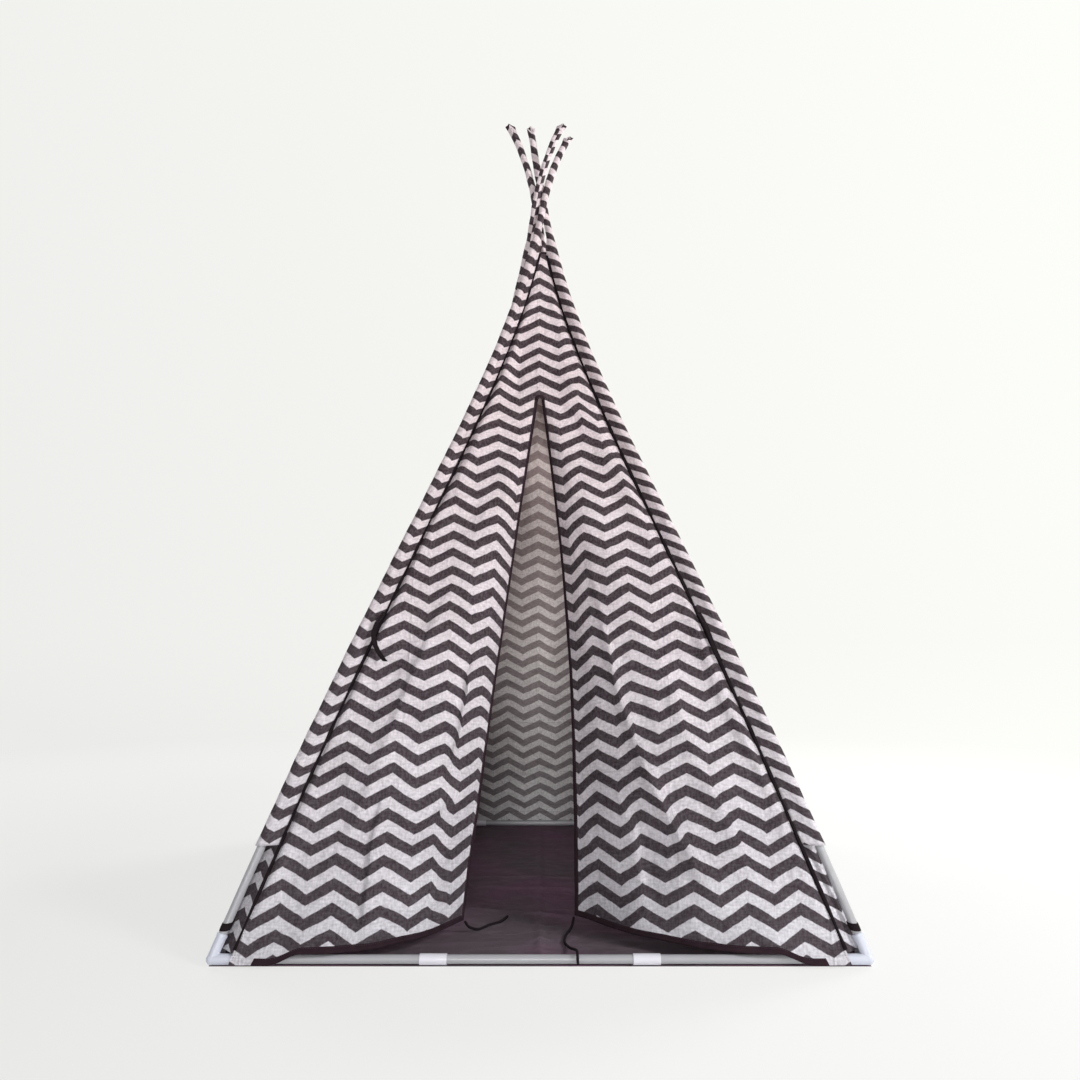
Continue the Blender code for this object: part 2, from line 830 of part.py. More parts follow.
def smooth_route(marks, count):
    """Points spread along a smooth curve through the marks."""
    ends = [marks[0] * 2 - marks[1], *marks, marks[-1] * 2 - marks[-2]]
    fine = []
    steps = 8
    for a, b, c, d in zip(ends, ends[1:], ends[2:], ends[3:]):
        for i in range(steps):
            t = i / steps
            fine.append(
                (b * 2 + (c - a) * t + (a * 2 - b * 5 + c * 4 - d) * t**2 + (b * 3 - a - c * 3 + d) * t**3)
                / 2
            )
    fine.append(marks[-1])
    run = [0.0]
    for low, high in zip(fine, fine[1:]):
        run.append(run[-1] + (high - low).length)
    points = []
    place = 0
    for i in range(count + 1):
        target = run[-1] * i / count
        while place < len(fine) - 2 and run[place + 1] < target:
            place += 1
        part = (target - run[place]) / (run[place + 1] - run[place])
        points.append(fine[place].lerp(fine[place + 1], part))
    return points


for label, side, route in (("left", -1, left_tie_route), ("right", 1, right_tie_route)):
    marks = [flap_corners[side] + Vector(mark) for mark in route]
    tie = swept(f"closing_tie_{label}", smooth_route(marks, tie_points), tie_radius, True, trim_tape)
    tie.parent = hinges[side]
    tie.matrix_parent_inverse = Matrix.Translation(-hinges[side].location)
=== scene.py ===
"""A child's teepee of striped cotton on crossed plastic poles, seen from in front of its half-open door."""

import math

import bmesh
import bpy
import numpy as np
from mathutils import Matrix, Vector, noise


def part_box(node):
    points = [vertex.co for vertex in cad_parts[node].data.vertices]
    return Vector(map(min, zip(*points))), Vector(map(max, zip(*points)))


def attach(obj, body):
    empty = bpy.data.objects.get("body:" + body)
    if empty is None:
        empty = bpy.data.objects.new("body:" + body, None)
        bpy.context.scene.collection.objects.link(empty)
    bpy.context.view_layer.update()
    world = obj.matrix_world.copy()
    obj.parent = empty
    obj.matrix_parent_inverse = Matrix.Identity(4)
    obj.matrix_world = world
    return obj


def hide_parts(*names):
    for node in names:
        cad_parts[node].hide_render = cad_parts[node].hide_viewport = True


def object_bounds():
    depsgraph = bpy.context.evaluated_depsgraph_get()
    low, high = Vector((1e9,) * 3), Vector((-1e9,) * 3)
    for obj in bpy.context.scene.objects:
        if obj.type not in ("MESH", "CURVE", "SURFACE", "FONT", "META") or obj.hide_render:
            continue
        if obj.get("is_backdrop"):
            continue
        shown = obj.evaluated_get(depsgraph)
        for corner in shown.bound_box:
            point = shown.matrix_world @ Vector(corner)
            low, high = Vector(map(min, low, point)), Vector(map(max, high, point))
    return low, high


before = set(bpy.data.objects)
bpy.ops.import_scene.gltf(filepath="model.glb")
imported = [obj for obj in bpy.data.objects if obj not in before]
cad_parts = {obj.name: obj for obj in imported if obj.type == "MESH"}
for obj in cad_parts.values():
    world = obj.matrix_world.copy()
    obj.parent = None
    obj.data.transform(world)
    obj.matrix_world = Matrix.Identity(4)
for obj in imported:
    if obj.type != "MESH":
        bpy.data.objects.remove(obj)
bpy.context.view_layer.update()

# View and closing ties
# The camera stands at a child's height in front of the door and looks slightly up. The two closing ties
# are limp cotton cords sewn to the free corners of the door flaps; both lie on the mat.


def linked(name, data):
    """A new object in the scene."""
    made = bpy.data.objects.new(name, data)
    bpy.context.scene.collection.objects.link(made)
    return made


view = bpy.data.cameras.new("view")
view.sensor_width = 36
view.lens = 29.93
view_object = linked("view", view)
view_object.location = (0, -2.3125, 0.5997)
tilt_up = 0.1059
view_object.rotation_euler = (math.pi / 2 + tilt_up, 0, 0)
bpy.context.scene.camera = view_object


def paint(red, green, blue):
    """A colour as the eye sees it, 0 to 255, in the linear values that a shader takes."""
    parts = [c / 255 for c in (red, green, blue)]
    return tuple(c / 12.92 if c <= 0.04045 else ((c + 0.055) / 1.055) ** 2.4 for c in parts) + (1.0,)


class Field:
    """A number, colour or direction that changes over a surface. Sums and products of fields add Math nodes."""

    def __init__(self, tree, socket=None):
        self.tree, self.socket = tree, socket

    def node(self, kind, settings=None, inputs=(), output=0):
        """Any other node: its settings first, then the values or fields of its sockets, by place or by name."""
        made = self.tree.nodes.new(kind)
        for name, value in (settings or {}).items():
            setattr(made, name, value)
        for name, value in inputs.items() if isinstance(inputs, dict) else enumerate(inputs):
            if isinstance(value, Field):
                self.tree.links.new(value.socket, made.inputs[name])
            elif value is not None:
                made.inputs[name].default_value = value
        return Field(self.tree, None if output is None else made.outputs[output])

    def math(self, operation, *others, clamp=False):
        return self.node("ShaderNodeMath", {"operation": operation, "use_clamp": clamp}, [self, *others])

    def __add__(self, other):
        return self.math("ADD", other)

    def __sub__(self, other):
        return self.math("SUBTRACT", other)

    def __mul__(self, other):
        return self.math("MULTIPLY", other)

    def __truediv__(self, other):
        return self.math("DIVIDE", other)

    def __rsub__(self, other):
        return self.node("ShaderNodeMath", {"operation": "SUBTRACT"}, [other, self])

    def __abs__(self):
        return self.math("ABSOLUTE")

    __radd__ = __add__
    __rmul__ = __mul__

    def clamped(self):
        return self.math("ADD", 0.0, clamp=True)


def mixed(share, first, second):
    """The first colour where share is 0, and the second where it is 1."""
    return share.node("ShaderNodeMix", {"data_type": "RGBA"}, {0: share, 6: first, 7: second}, output=2)


def surface(name, **plain):
    """A new material: returns it, the places on its object, and its Principled shader."""
    material = bpy.data.materials.new(name)
    material.use_nodes = True
    shader = material.node_tree.nodes["Principled BSDF"]
    for socket, value in plain.items():
        shader.inputs[socket.replace("_", " ")].default_value = value
    return material, Field(material.node_tree).node("ShaderNodeTexCoord", output="Object"), shader


def drive(shader, socket, field):
    field.tree.links.new(field.socket, shader.inputs[socket])


def bump(height, strength, distance):
    return height.node("ShaderNodeBump", None, {"Height": height, "Strength": strength, "Distance": distance})


def grain(place, scale, detail=4.0):
    """Cloudy variation between 0 and 1, finer as scale grows."""
    return place.node("ShaderNodeTexNoise", None, {"Vector": place, "Scale": scale, "Detail": detail})


def cloth_place(place):
    """Metres across and along the cloth, from its own UV map, in the material of place."""
    return place.node("ShaderNodeUVMap", {"uv_map": "cloth"})


def split(vector):
    return [vector.node("ShaderNodeSeparateXYZ", None, [vector], output=i) for i in range(3)]


def black_tape(name, gloss, cloud_scale, twill_scale, tones, strength, distance):
    """Dull black cotton twill, a little uneven in colour."""
    material, place, shader = surface(name, Roughness=0.95, Specular_IOR_Level=gloss)
    cloud, twill = grain(place, cloud_scale), grain(place, twill_scale, 2.0)
    drive(shader, "Base Color", mixed(cloud, *tones))
    drive(shader, "Normal", bump(twill + cloud * 0.6, strength, distance))
    return material


trim_black = black_tape("trim_black", 0.15, 60.0, 1900.0, (paint(30, 20, 25), paint(52, 37, 44)), 0.5, 0.0006)
tie_black = black_tape("tie_black", 0.1, 90.0, 1700.0, (paint(20, 15, 18), paint(40, 32, 36)), 0.6, 0.0007)


def smooth_line(marks, count):
    """Points spread evenly along a smooth curve through the marks."""
    marks = [Vector(mark) for mark in marks]
    ends = [marks[0] * 2 - marks[1], *marks, marks[-1] * 2 - marks[-2]]
    fine = []
    for a, b, c, d in zip(ends, ends[1:], ends[2:], ends[3:]):
        for i in range(12):
            t = i / 12
            cubic = (a * 2 - b * 5 + c * 4 - d) * t**2 + (b * 3 - a - c * 3 + d) * t**3
            fine.append((b * 2 + (c - a) * t + cubic) / 2)
    fine.append(marks[-1])
    run = np.cumsum([0.0] + [(q - p).length for p, q in zip(fine, fine[1:])])
    places = np.linspace(0, run[-1], count)
    return np.column_stack([np.interp(places, run, [p[k] for p in fine]) for k in range(3)])


def running_length(points):
    """The distance along a line at each of its points."""
    return np.concatenate([[0], np.cumsum(np.linalg.norm(np.diff(points, axis=0), axis=1))])


def line_length(points):
    return float(np.linalg.norm(np.diff(points, axis=0), axis=1).sum())


def stacked(*parts):
    """Points, or places on the cloth, from arrays or numbers for each coordinate."""
    return np.stack(np.broadcast_arrays(*parts), axis=-1)


def new_piece(name, points, faces, material, body="frame_and_cover", uv=None):
    """A smooth-shaded mesh that rides on a body. uv gives a place in metres for each point."""
    mesh = bpy.data.meshes.new(name)
    mesh.from_pydata([tuple(p) for p in points], [], [tuple(f) for f in faces])
    mesh.materials.append(material)
    if uv is not None:
        corners = np.zeros(len(mesh.loops), np.int32)
        mesh.loops.foreach_get("vertex_index", corners)
        layer = mesh.uv_layers.new(name="cloth")
        layer.data.foreach_set("uv", np.asarray(uv, np.float32)[corners].ravel())
    mesh.shade_smooth()
    mesh.update()
    made = linked(name, mesh)
    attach(made, body)
    return made


def grid_piece(name, grid, material, uv, body="frame_and_cover", closed=False):
    """A piece whose points are rows of a grid; uv is a grid of their places on the cloth."""
    flat = uv if uv is None else uv.reshape(-1, 2)
    faces = grid_faces(*grid.shape[:2], closed=closed)
    return new_piece(name, grid.reshape(-1, 3), faces, material, body, flat)


def grid_faces(rows, columns, closed=False):
    across = columns if closed else columns - 1
    low = np.arange(rows - 1)[:, None] * columns
    this, ahead = np.arange(across), (np.arange(across) + 1) % columns
    quads = np.stack([low + this, low + ahead, low + columns + ahead, low + columns + this], axis=2)
    return quads.reshape(-1, 4)


def ring(centre, side, up, radius, sides, start=0.0):
    """Points round a centre, in the plane of two directions."""
    turns = [2 * math.pi * k / sides + start for k in range(sides)]
    return [centre + radius * (math.cos(turn) * side + math.sin(turn) * up) for turn in turns]


def round_sweep(points, radii, sides):
    """The points, faces and cloth places of a closed round sweep along a line."""
    points = np.asarray(points, float)
    along = np.gradient(points, axis=0)
    along /= np.linalg.norm(along, axis=1)[:, None]
    side = np.cross(along[0], (0.31, 0.12, 0.94))
    rings, uvs = [], []
    run = 0.0
    for i, (point, direction, radius) in enumerate(zip(points, along, radii)):
        side = side - direction * side.dot(direction)
        side /= np.linalg.norm(side)
        run += np.linalg.norm(point - points[i - 1]) if i else 0.0
        rings += ring(point, side, np.cross(direction, side), radius, sides)
        uvs += [(k / sides * 0.01, run) for k in range(sides)]
    faces = [tuple(f) for f in grid_faces(len(points), sides, True)]
    first, last = len(rings), len(rings) + 1
    rings += [points[0], points[-1]]
    uvs += [(0, 0), (0, run)]
    end = (len(points) - 1) * sides
    for k in range(sides):
        ahead = (k + 1) % sides
        faces += [(first, ahead, k), (last, end + k, end + ahead)]
    return np.array(rings), faces, uvs


flap_corner = {"left": Vector((-0.155, -0.434, 0.03)), "right": Vector((0.072, -0.401, 0.03))}
# Marks along each tie, from its flap's corner
tie_routes = {
    "left": (
        [(0.004, 0.001, -0.0035), (0.012, 0.008, -0.016), (0.03, 0.026, -0.0255)]
        + [(0.05, 0.055, -0.0262), (0.073, 0.078, -0.0262), (0.086, 0.112, -0.0262)]
    ),
    "right": (
        [(-0.003, -0.003, -0.0035), (-0.008, -0.018, -0.018), (-0.02, -0.045, -0.026), (-0.024, -0.085, -0.026)]
        + [(-0.016, -0.125, -0.0225), (-0.008, -0.165, -0.0125), (-0.005, -0.195, -0.0045)]
        + [(-0.004, -0.2075, -0.0045), (-0.004, -0.2102, -0.0085), (-0.0035, -0.2102, -0.0165)]
        + [(-0.003, -0.2102, -0.0245)]
    ),
}
tie_diameter = 0.0052
for side, route in tie_routes.items():
    line = smooth_line([flap_corner[side] + Vector(mark) for mark in route], 60)
    share = np.linspace(0, 1, 60)
    # Slightly lumpy, and thinner at its free end
    radii = tie_diameter / 2 * (1 + 0.05 * np.sin(share * 260)) * np.where(share > 0.985, 0.8, 1.0)
    points, faces, uv = round_sweep(line, radii, 10)
    tie = new_piece(f"closing_tie_cord_{side}", points, faces, tie_black, f"{side}_flap", uv=uv)
    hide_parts(f"closing_tie_{side}")

# Pole and base tubes
# Extruded plastic tubes, pushed together through joiners. Each joiner stays on the end of the tube that
# carries it. The four poles bow inward where the cloth pulls on them and fan out again above the crossing.

half_base = 0.6
tube_radius = 0.008
tube_bore = 0.0068
joiner_radius = 0.00979
joiner_bore = 0.00859
base_height = 0.01149
joint_gap = 0.00065
# From the middle of a corner to the start of the tubes there
tube_seat = 0.0143
crossing_height = 1.755
pole_rise = crossing_height - base_height
tip_height = 1.945
# How far each pole bends outward above the crossing, along x and along y
tip_flare = {
    "front_left": (3.2, 2.9),
    "front_right": (-0.3, -4.0),
    "back_left": (3.2, -5.0),
    "back_right": (3.3, -3.1),
}
corners = {"front_left": (-1, -1), "front_right": (1, -1), "back_left": (-1, 1), "back_right": (1, 1)}


# How far each pole passes aside of the middle at the crossing
pole_aside = 0.015
# How far a pole bows inward, as a share of half_base, and where along it the bow lies
bow, bow_low, bow_high = 0.658, 2.84, 1.054


def pole_points(corner, heights):
    """Points of a pole's axis at the given heights."""
    side_x, side_y = corners[corner]
    t = (np.asarray(heights, float) - base_height) / pole_rise
    low = np.clip(t, 0, 1)
    bowed = (1 - t) - bow * low**bow_low * (1 - low) ** bow_high
    over = np.maximum(t - 1, 0)
    reach_x, reach_y = [
        half_base * np.where(t > 1, -(0.5 * over + flare * over**2), bowed) for flare in tip_flare[corner]
    ]
    aside = pole_aside * np.minimum(t, 1) / math.sqrt(2)
    x, y = side_x * reach_x - side_y * aside, side_y * reach_y + side_x * aside
    return stacked(x, y, heights)


def turned_along(line, profile, sides):
    """A closed turned shape along a line: profile is a loop of (distance, radius) pairs."""
    run = running_length(line)
    spread = []
    for (a, r), (b, q) in zip(profile, profile[1:] + profile[:1]):
        steps = max(1, int(abs(b - a) / 0.02))
        spread += [(a + (b - a) * i / steps, r + (q - r) * i / steps) for i in range(steps)]
    direction = line[-1] - line[0]
    side = np.cross(direction, (0, 0, 1) if abs(direction[2]) < 0.5 else (0, 1, 0))
    side /= np.linalg.norm(side)
    points, uv = [], []
    for distance, radius in spread:
        centre, ahead, behind = [
            np.array([np.interp(place, run, line[:, k]) for k in range(3)])
            for place in (distance, distance + 0.004, distance - 0.004)
        ]
        forward = (ahead - behind) / np.linalg.norm(ahead - behind)
        across = side - forward * side.dot(forward)
        across /= np.linalg.norm(across)
        points += ring(centre, across, np.cross(forward, across), radius, sides)
        uv += [(k / sides * 0.05, distance) for k in range(sides)]
    faces = grid_faces(len(spread), sides, True).tolist()
    last = (len(spread) - 1) * sides
    for k in range(sides):
        ahead = (k + 1) % sides
        faces.append((last + k, last + ahead, ahead, k))
    return points, faces, uv


def outward(made):
    """Turns all faces of a closed piece outward."""
    shape = bmesh.new()
    shape.from_mesh(made.data)
    bmesh.ops.recalc_face_normals(shape, faces=shape.faces)
    shape.to_mesh(made.data)
    shape.free()


tube_grey, place, shader = surface("tube_grey", Roughness=0.42, Coat_Weight=0.15)
cloud = grain(place, 9.0)
scuffs = grain(place, 420.0, 3.0)
x, y, z = split(place)
from_bar_x, from_bar_y = abs(abs(x) - half_base), abs(abs(y) - half_base)
level = z - base_height
from_bar = from_bar_x.math("MINIMUM", from_bar_y)
radial = (from_bar * from_bar + level * level).math("SQRT")
# The base's joiners are white: they show by their greater radius, near the floor only
on_joiner = ((radial - 0.0086) * 2500.0).clamped() * ((0.03 - z) * 200.0).clamped()
tube_tone = mixed(cloud, paint(152, 152, 156), paint(176, 176, 180))
drive(shader, "Base Color", mixed(on_joiner, tube_tone, paint(222, 220, 228)))
drive(shader, "Roughness", 0.34 + scuffs * 0.18)
drive(shader, "Normal", bump(scuffs, 0.12, 0.0004))

edge = 0.0003
joiner_half = 0.025


def tube_profile(start, joint, jointed):
    """The outline of a tube's wall from its start to its joint, with the joiner where it carries one."""
    foot = [(start, tube_bore), (start, tube_radius - edge), (start + edge, tube_radius)]
    if not jointed:
        return foot + [(joint - edge, tube_radius), (joint, tube_radius - edge), (joint, tube_bore)]
    low, high = joint - joiner_half, joint + joiner_half
    outside = [(low, tube_radius), (low, joiner_radius - edge), (low + edge, joiner_radius)]
    mouth = [(high - edge, joiner_radius), (high, joiner_radius - edge), (high, joiner_bore)]
    return foot + outside + mouth + [(joint - joint_gap, joiner_bore), (joint - joint_gap, tube_bore)]


def add_tube(name, node, line, profile):
    points, faces, uv = turned_along(line, profile, 24)
    made = new_piece(name, points, faces, tube_grey, uv=uv)
    outward(made)
    made.data.set_sharp_from_angle(angle=math.radians(35))
    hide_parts(node)


fine_heights = np.linspace(base_height, tip_height, 1200)
for corner in corners:
    line = pole_points(corner, fine_heights)
    own_length = line_length(line)
    for number in range(5):
        start = tube_seat if number == 0 else own_length * number / 5 + joint_gap
        joint = own_length * (number + 1) / 5
        profile = tube_profile(start, joint, number < 4)
        add_tube(f"{corner}_tube_{number + 1}", f"pole_{corner}_tube_{number + 1}", line, profile)

# The joints of a side lie this far from its two ends
near_joint, far_joint = 0.405, 0.795
side_ends = {
    "front": ((-1, -1), (1, -1), ("left", "middle", "right")),
    "back": ((-1, 1), (1, 1), ("left", "middle", "right")),
    "left": ((-1, -1), (-1, 1), ("front", "middle", "back")),
    "right": ((1, -1), (1, 1), ("front", "middle", "back")),
}
for side, (*ends, names) in side_ends.items():
    start, end = [np.array([x * half_base, y * half_base, base_height]) for x, y in ends]
    outer = tube_profile(tube_seat, near_joint, True)
    inner = tube_profile(near_joint + joint_gap, far_joint - joint_gap, False)
    first, last = (start, end, names[0], outer), (end, start, names[2], outer)
    for near, far, label, profile in (first, last, (start, end, names[1], inner)):
        line = near + np.linspace(0, 1, 200)[:, None] * (far - near)
        add_tube(f"base_{side}_{label}_tube", f"base_{side}_tube_{label}", line, profile)

# Corner connectors
# Moulded in bluish white plastic: an elbow with two sockets for the base tubes and a third that leans in
# along the pole. The mould leaves every outside edge softly rounded.

connector_white, place, shader = surface("connector_white", Roughness=0.38, Coat_Weight=0.1)
cloud = grain(place, 30.0)
pitting = grain(place, 900.0, 2.0)
drive(shader, "Base Color", mixed(cloud, paint(196, 200, 214), paint(212, 215, 226)))
drive(shader, "Roughness", 0.34 + pitting * 0.12)
drive(shader, "Normal", bump(pitting, 0.1, 0.0003))

socket_radius = 0.01019
socket_bore = 0.00859
socket_length = 0.045
bore_foot = 0.014


def from_shape(name, shape):
    """A new object from a bmesh, which is freed."""
    mesh = bpy.data.meshes.new(name)
    shape.to_mesh(mesh)
    shape.free()
    return linked(name, mesh)


def solid_rod(name, start, end, radius):
    shape = bmesh.new()
    turn = (end - start).to_track_quat("Z", "Y").to_matrix().to_4x4()
    bmesh.ops.create_cone(
        shape,
        cap_ends=True,
        segments=40,
        radius1=radius,
        radius2=radius,
        depth=(end - start).length,
        matrix=Matrix.Translation((start + end) / 2) @ turn,
    )
    return from_shape(name, shape)


def applied(made):
    """The piece as its modifiers leave it, as a plain mesh."""
    graph = bpy.context.evaluated_depsgraph_get()
    return bpy.data.meshes.new_from_object(made.evaluated_get(graph))


def united(name, solids, voxel):
    """Several overlapping solids melted into one moulded skin."""
    shape = bmesh.new()
    for solid in solids:
        shape.from_mesh(solid.data)
        bpy.data.objects.remove(solid, do_unlink=True)
    made = from_shape(name, shape)
    melt = made.modifiers.new("melt", "REMESH")
    melt.mode = "VOXEL"
    melt.voxel_size = voxel
    ease = made.modifiers.new("ease", "SMOOTH")
    ease.factor = 0.5
    ease.iterations = 3
    return made


for corner, (side_x, side_y) in corners.items():
    middle = Vector((side_x * half_base, side_y * half_base, base_height))
    pole_direction = Vector(pole_points(corner, base_height + 0.1) - pole_points(corner, base_height))
    arms = [Vector((-side_x, 0, 0)), Vector((0, -side_y, 0)), pole_direction.normalized()]
    solids = []
    for i, arm in enumerate(arms):
        # A raised lip round each socket's mouth
        mouth = middle + arm * socket_length
        solids.append(solid_rod(f"{corner}_arm_{i}", middle, mouth, socket_radius - 0.0005))
        solids.append(solid_rod(f"{corner}_lip_{i}", mouth - arm * 0.006, mouth, socket_radius))
    ball = bmesh.new()
    bmesh.ops.create_uvsphere(ball, u_segments=32, v_segments=20, radius=socket_radius)
    bmesh.ops.translate(ball, verts=ball.verts, vec=middle)
    solids.append(from_shape(f"{corner}_ball", ball))
    body = united(f"{corner}_melt", solids, 0.0008)
    bores = []
    for i, arm in enumerate(arms):
        past_mouth = middle + arm * (socket_length + 0.005)
        bore = solid_rod(f"{corner}_bore_{i}", middle + arm * bore_foot, past_mouth, socket_bore)
        cut = body.modifiers.new(f"bore_{i}", "BOOLEAN")
        cut.operation = "DIFFERENCE"
        cut.object = bore
        bores.append(bore)
    mesh = applied(body)
    for helper in [body, *bores]:
        bpy.data.objects.remove(helper, do_unlink=True)
    mesh.name = f"connector_{corner}"
    mesh.materials.clear()
    mesh.materials.append(connector_white)
    mesh.shade_smooth()
    mesh.set_sharp_from_angle(angle=math.radians(45))
    connector = linked(f"connector_{corner}", mesh)
    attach(connector, "frame_and_cover")
    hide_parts(f"corner_connector_{corner}")

# Front of the cover
# Printed cotton, sewn to the two front sleeves. The door is slit open below its peak, so on either side of
# it the cloth runs on only as far as the crease where a flap folds in.

hem_height = 0.006
crown_height = 1.615
apex_height = 1.212
peak_height = 1.178
crease_foot_x = 0.53
chevron_width = 0.097
chevron_repeat = 0.0436
chevron_slope = math.tan(math.radians(30))
edge_sharpness = 28.0
thread_pitch = 0.0011
# From the pole axes out to the face of the cover: at the hem, and how much less at the crown
offset_at_hem, offset_lost = 0.0135, 0.0175
# A step square to the front wall, as its shares outward and upward
wall_out, wall_up = 0.93, 0.36
cloth_thickness = 0.0007


def cover_offset(z):
    return offset_at_hem - offset_lost * (np.asarray(z, float) - hem_height) / (crown_height - hem_height)


def seam_inset(z):
    """How far along the wall a seam lies from its pole's axis."""
    return cover_offset(z) + 0.0235


def seam_line(corner, z, direction):
    """A seam of the wall that faces along direction, beside a pole."""
    side_x, side_y = corners[corner]
    pole = pole_points(corner, z)
    if direction[0] == 0:
        return pole + stacked(-side_x * seam_inset(z), side_y * cover_offset(z), 0)
    return pole + stacked(side_x * cover_offset(z), -side_y * seam_inset(z), 0)


def cover_profile(z):
    """How far the cover's face is from the middle, halfway between two poles."""
    left, right = pole_points("front_left", z), pole_points("front_right", z)
    return -(left[..., 1] + right[..., 1]) / 2 + cover_offset(z)


apex = np.array([0.0, -0.14815, apex_height])
foot_y = -0.615409
slope = math.hypot(apex[1] - foot_y, apex_height - hem_height) / (apex_height - hem_height)
climb = np.linspace(apex_height, 1.7, 200)
climb_run = np.concatenate([[0], np.cumsum(np.hypot(np.diff(climb), np.diff(cover_profile(climb))))])


def along_cloth(z):
    """The distance up the cloth from the door's peak to a height."""
    z = np.asarray(z, float)
    return np.where(z < apex_height, (z - apex_height) * slope, np.interp(z, climb, climb_run))


def stretched(place, across, along, detail=3.0):
    """Like grain, with a scale of its own across and along the cloth."""
    scaled = place.node("ShaderNodeVectorMath", {"operation": "MULTIPLY"}, [place, (across, along, 1)])
    return grain(scaled, 1.0, detail)


def shaded(colour, change):
    return paint(*[min(255, max(0, c + change)) for c in colour])


# Painted light: the cloth is drawn cooler low down and warmer and brighter high up, with the dark stripes darker
# at the crown, as the light falls there; each pair is its colour at the hem and at the crown
light_tones = ((222, 219, 225), (236, 221, 224))
dark_tones = ((52, 42, 48), (42, 29, 34))


def cotton_print(name, across=0.0, along=0.0, light=light_tones, dark=dark_tones):
    """Plain-woven cotton with a dark chevron print; across and along shift the print, in metres."""
    material, standing, shader = surface(name, Roughness=0.95, Specular_IOR_Level=0.08)
    place = cloth_place(standing)
    u, v, _ = split(place)
    # The stripes wander a little, up and down and aside, and their edges are rough
    wobble = (grain(place, 55.0, 3.0) - 0.5) * 0.003 + (grain(place, 310.0, 2.0) - 0.5) * 0.002
    wobble = wobble + (grain(place, 14.0, 2.0) - 0.5) * 0.007
    bent = u + across + (grain(place, 11.0, 2.0) - 0.5) * 0.01
    fold = abs((bent / chevron_width + 0.5).math("FRACT") - 0.5) * chevron_width
    phase = ((v + along + wobble + fold * chevron_slope) / chevron_repeat).math("FRACT")
    ink = ((0.25 - abs(phase - 0.5)) * edge_sharpness + 0.5).clamped()
    warp, weft = stretched(place, 260, 90), stretched(place, 90, 260)
    cloud = grain(place, 7.0)
    shade = (warp * 1.3 + weft * 1.3 + cloud * 0.6 - 1.1).clamped()
    # Painted light: the tones shift from their hem colours to their crown colours with height, for how the light
    # falls
    rise = (split(standing)[2] / 1.1 - 0.05).clamped()
    ground = [mixed(shade, shaded(tone, -42), shaded(tone, 14)) for tone in light]
    printed = [mixed(shade, shaded(tone, -16), shaded(tone, 34)) for tone in dark]
    worn = (ink * (0.96 + (warp - 0.5) * 0.4)).clamped()
    drive(shader, "Base Color", mixed(worn, mixed(rise, *ground), mixed(rise, *printed)))
    drive(shader, "Roughness", 0.88 + weft * 0.1)
    weave = (u * (2 * math.pi / thread_pitch)).math("SINE") * (v * (2 * math.pi / thread_pitch)).math("SINE")
    crumple = grain(place, 26.0, 5.0) * 2.6 + grain(place, 9.0, 4.0) * 7.0
    # Fine crease lines, and two straight ones where the folded cloth has been pressed
    creases = (1.0 - abs(grain(place, 8.0, 3.0) - 0.5) * 14.0).clamped()
    for along_fold, span in ((u, 0.27), (v, 0.31)):
        off_fold = abs((along_fold / span + 0.52).math("FRACT") - 0.5) * span
        creases = creases + (1.0 - off_fold / 0.003).clamped() * 1.2
    height = weave * 0.05 + weft * 0.2 + crumple + creases * 0.4
    drive(shader, "Normal", bump(height, 1.0, 0.0026))
    return material


def ease(low, high, value):
    """0 at low and 1 at high, smoothly; high may be the lesser."""
    share = np.clip((value - low) / (high - low), 0, 1)
    return share * share * (3 - 2 * share)


def hump(distance, width):
    """1 at no distance, falling smoothly to nothing over about twice the width."""
    return np.exp(-((distance / width) ** 2))


def folded(u, v, folds):
    """Height of the folds at places on the cloth, and how far the print is drawn in across them.

    Each fold is (marks along it, width towards smaller u, width towards larger u, height, cloth taken up)."""
    lift, drawn = np.zeros(np.shape(u)), np.zeros(np.shape(u))
    here = stacked(u, v)
    for marks, low_width, high_width, height, taken in folds:
        nearest = np.full(np.shape(u), 1e9)
        aside, run = np.zeros(np.shape(u)), np.zeros(np.shape(u))
        marks = np.array(marks, float)
        for i, (a, b) in enumerate(zip(marks, marks[1:])):
            span = b - a
            share = np.clip(((here - a) @ span) / (span @ span), 0, 1)
            offset = here - (a + share[..., None] * span)
            distance = np.linalg.norm(offset, axis=-1)
            square = np.array([span[1], -span[0]]) * (1 if span[1] > 0 else -1)
            closer = distance < nearest
            aside = np.where(closer, np.copysign(distance, offset @ square), aside)
            run = np.where(closer, (i + share) / (len(marks) - 1), run)
            nearest = np.minimum(nearest, distance)
        fade = ease(0, 0.3, run) * ease(0, 0.3, 1 - run)
        width = np.where(aside < 0, low_width, high_width)
        lift += 1.3 * height * fade * hump(aside, width)
        mean = (low_width + high_width) / 2
        drawn += taken * fade * np.tanh(aside / mean) * hump(aside, 4 * mean)
    return lift, drawn


def crumpled(u, v, size, seed):
    """Broad soft unevenness of the cloth, about -1 to 1."""
    flat = [noise.fractal(Vector((a / size, b / size, seed)), 0.8, 2.1, 3) for a, b in zip(u.ravel(), v.ravel())]
    return np.array(flat).reshape(u.shape)


def add_thickness(made, thickness):
    """Thickens an open sheet on the side away from its faces' normals."""
    wall = made.modifiers.new("thickness", "SOLIDIFY")
    wall.thickness = thickness
    wall.offset = -1.0


def face_out(made):
    """Turns an open sheet so that its faces look away from the middle of the tent."""
    mesh = made.data
    total = sum(p.normal.x * p.center.x + p.normal.y * p.center.y for p in mesh.polygons)
    if total < 0:
        mesh.flip_normals()


deepest_seam = 0.012


def seam_depth(z):
    """How deep a seam is drawn in between a wall and the sleeve beside it."""
    return deepest_seam * ease(0.02, 0.22, z) * (1 - ease(1.4, crown_height, z))


def seam_valley(distance, z):
    """How far the wall dips beside a seam."""
    shoulder = 0.0018 * hump(distance - 0.021, 0.011)
    return (shoulder - deepest_seam * hump(distance, 0.008)) * seam_depth(z) / deepest_seam


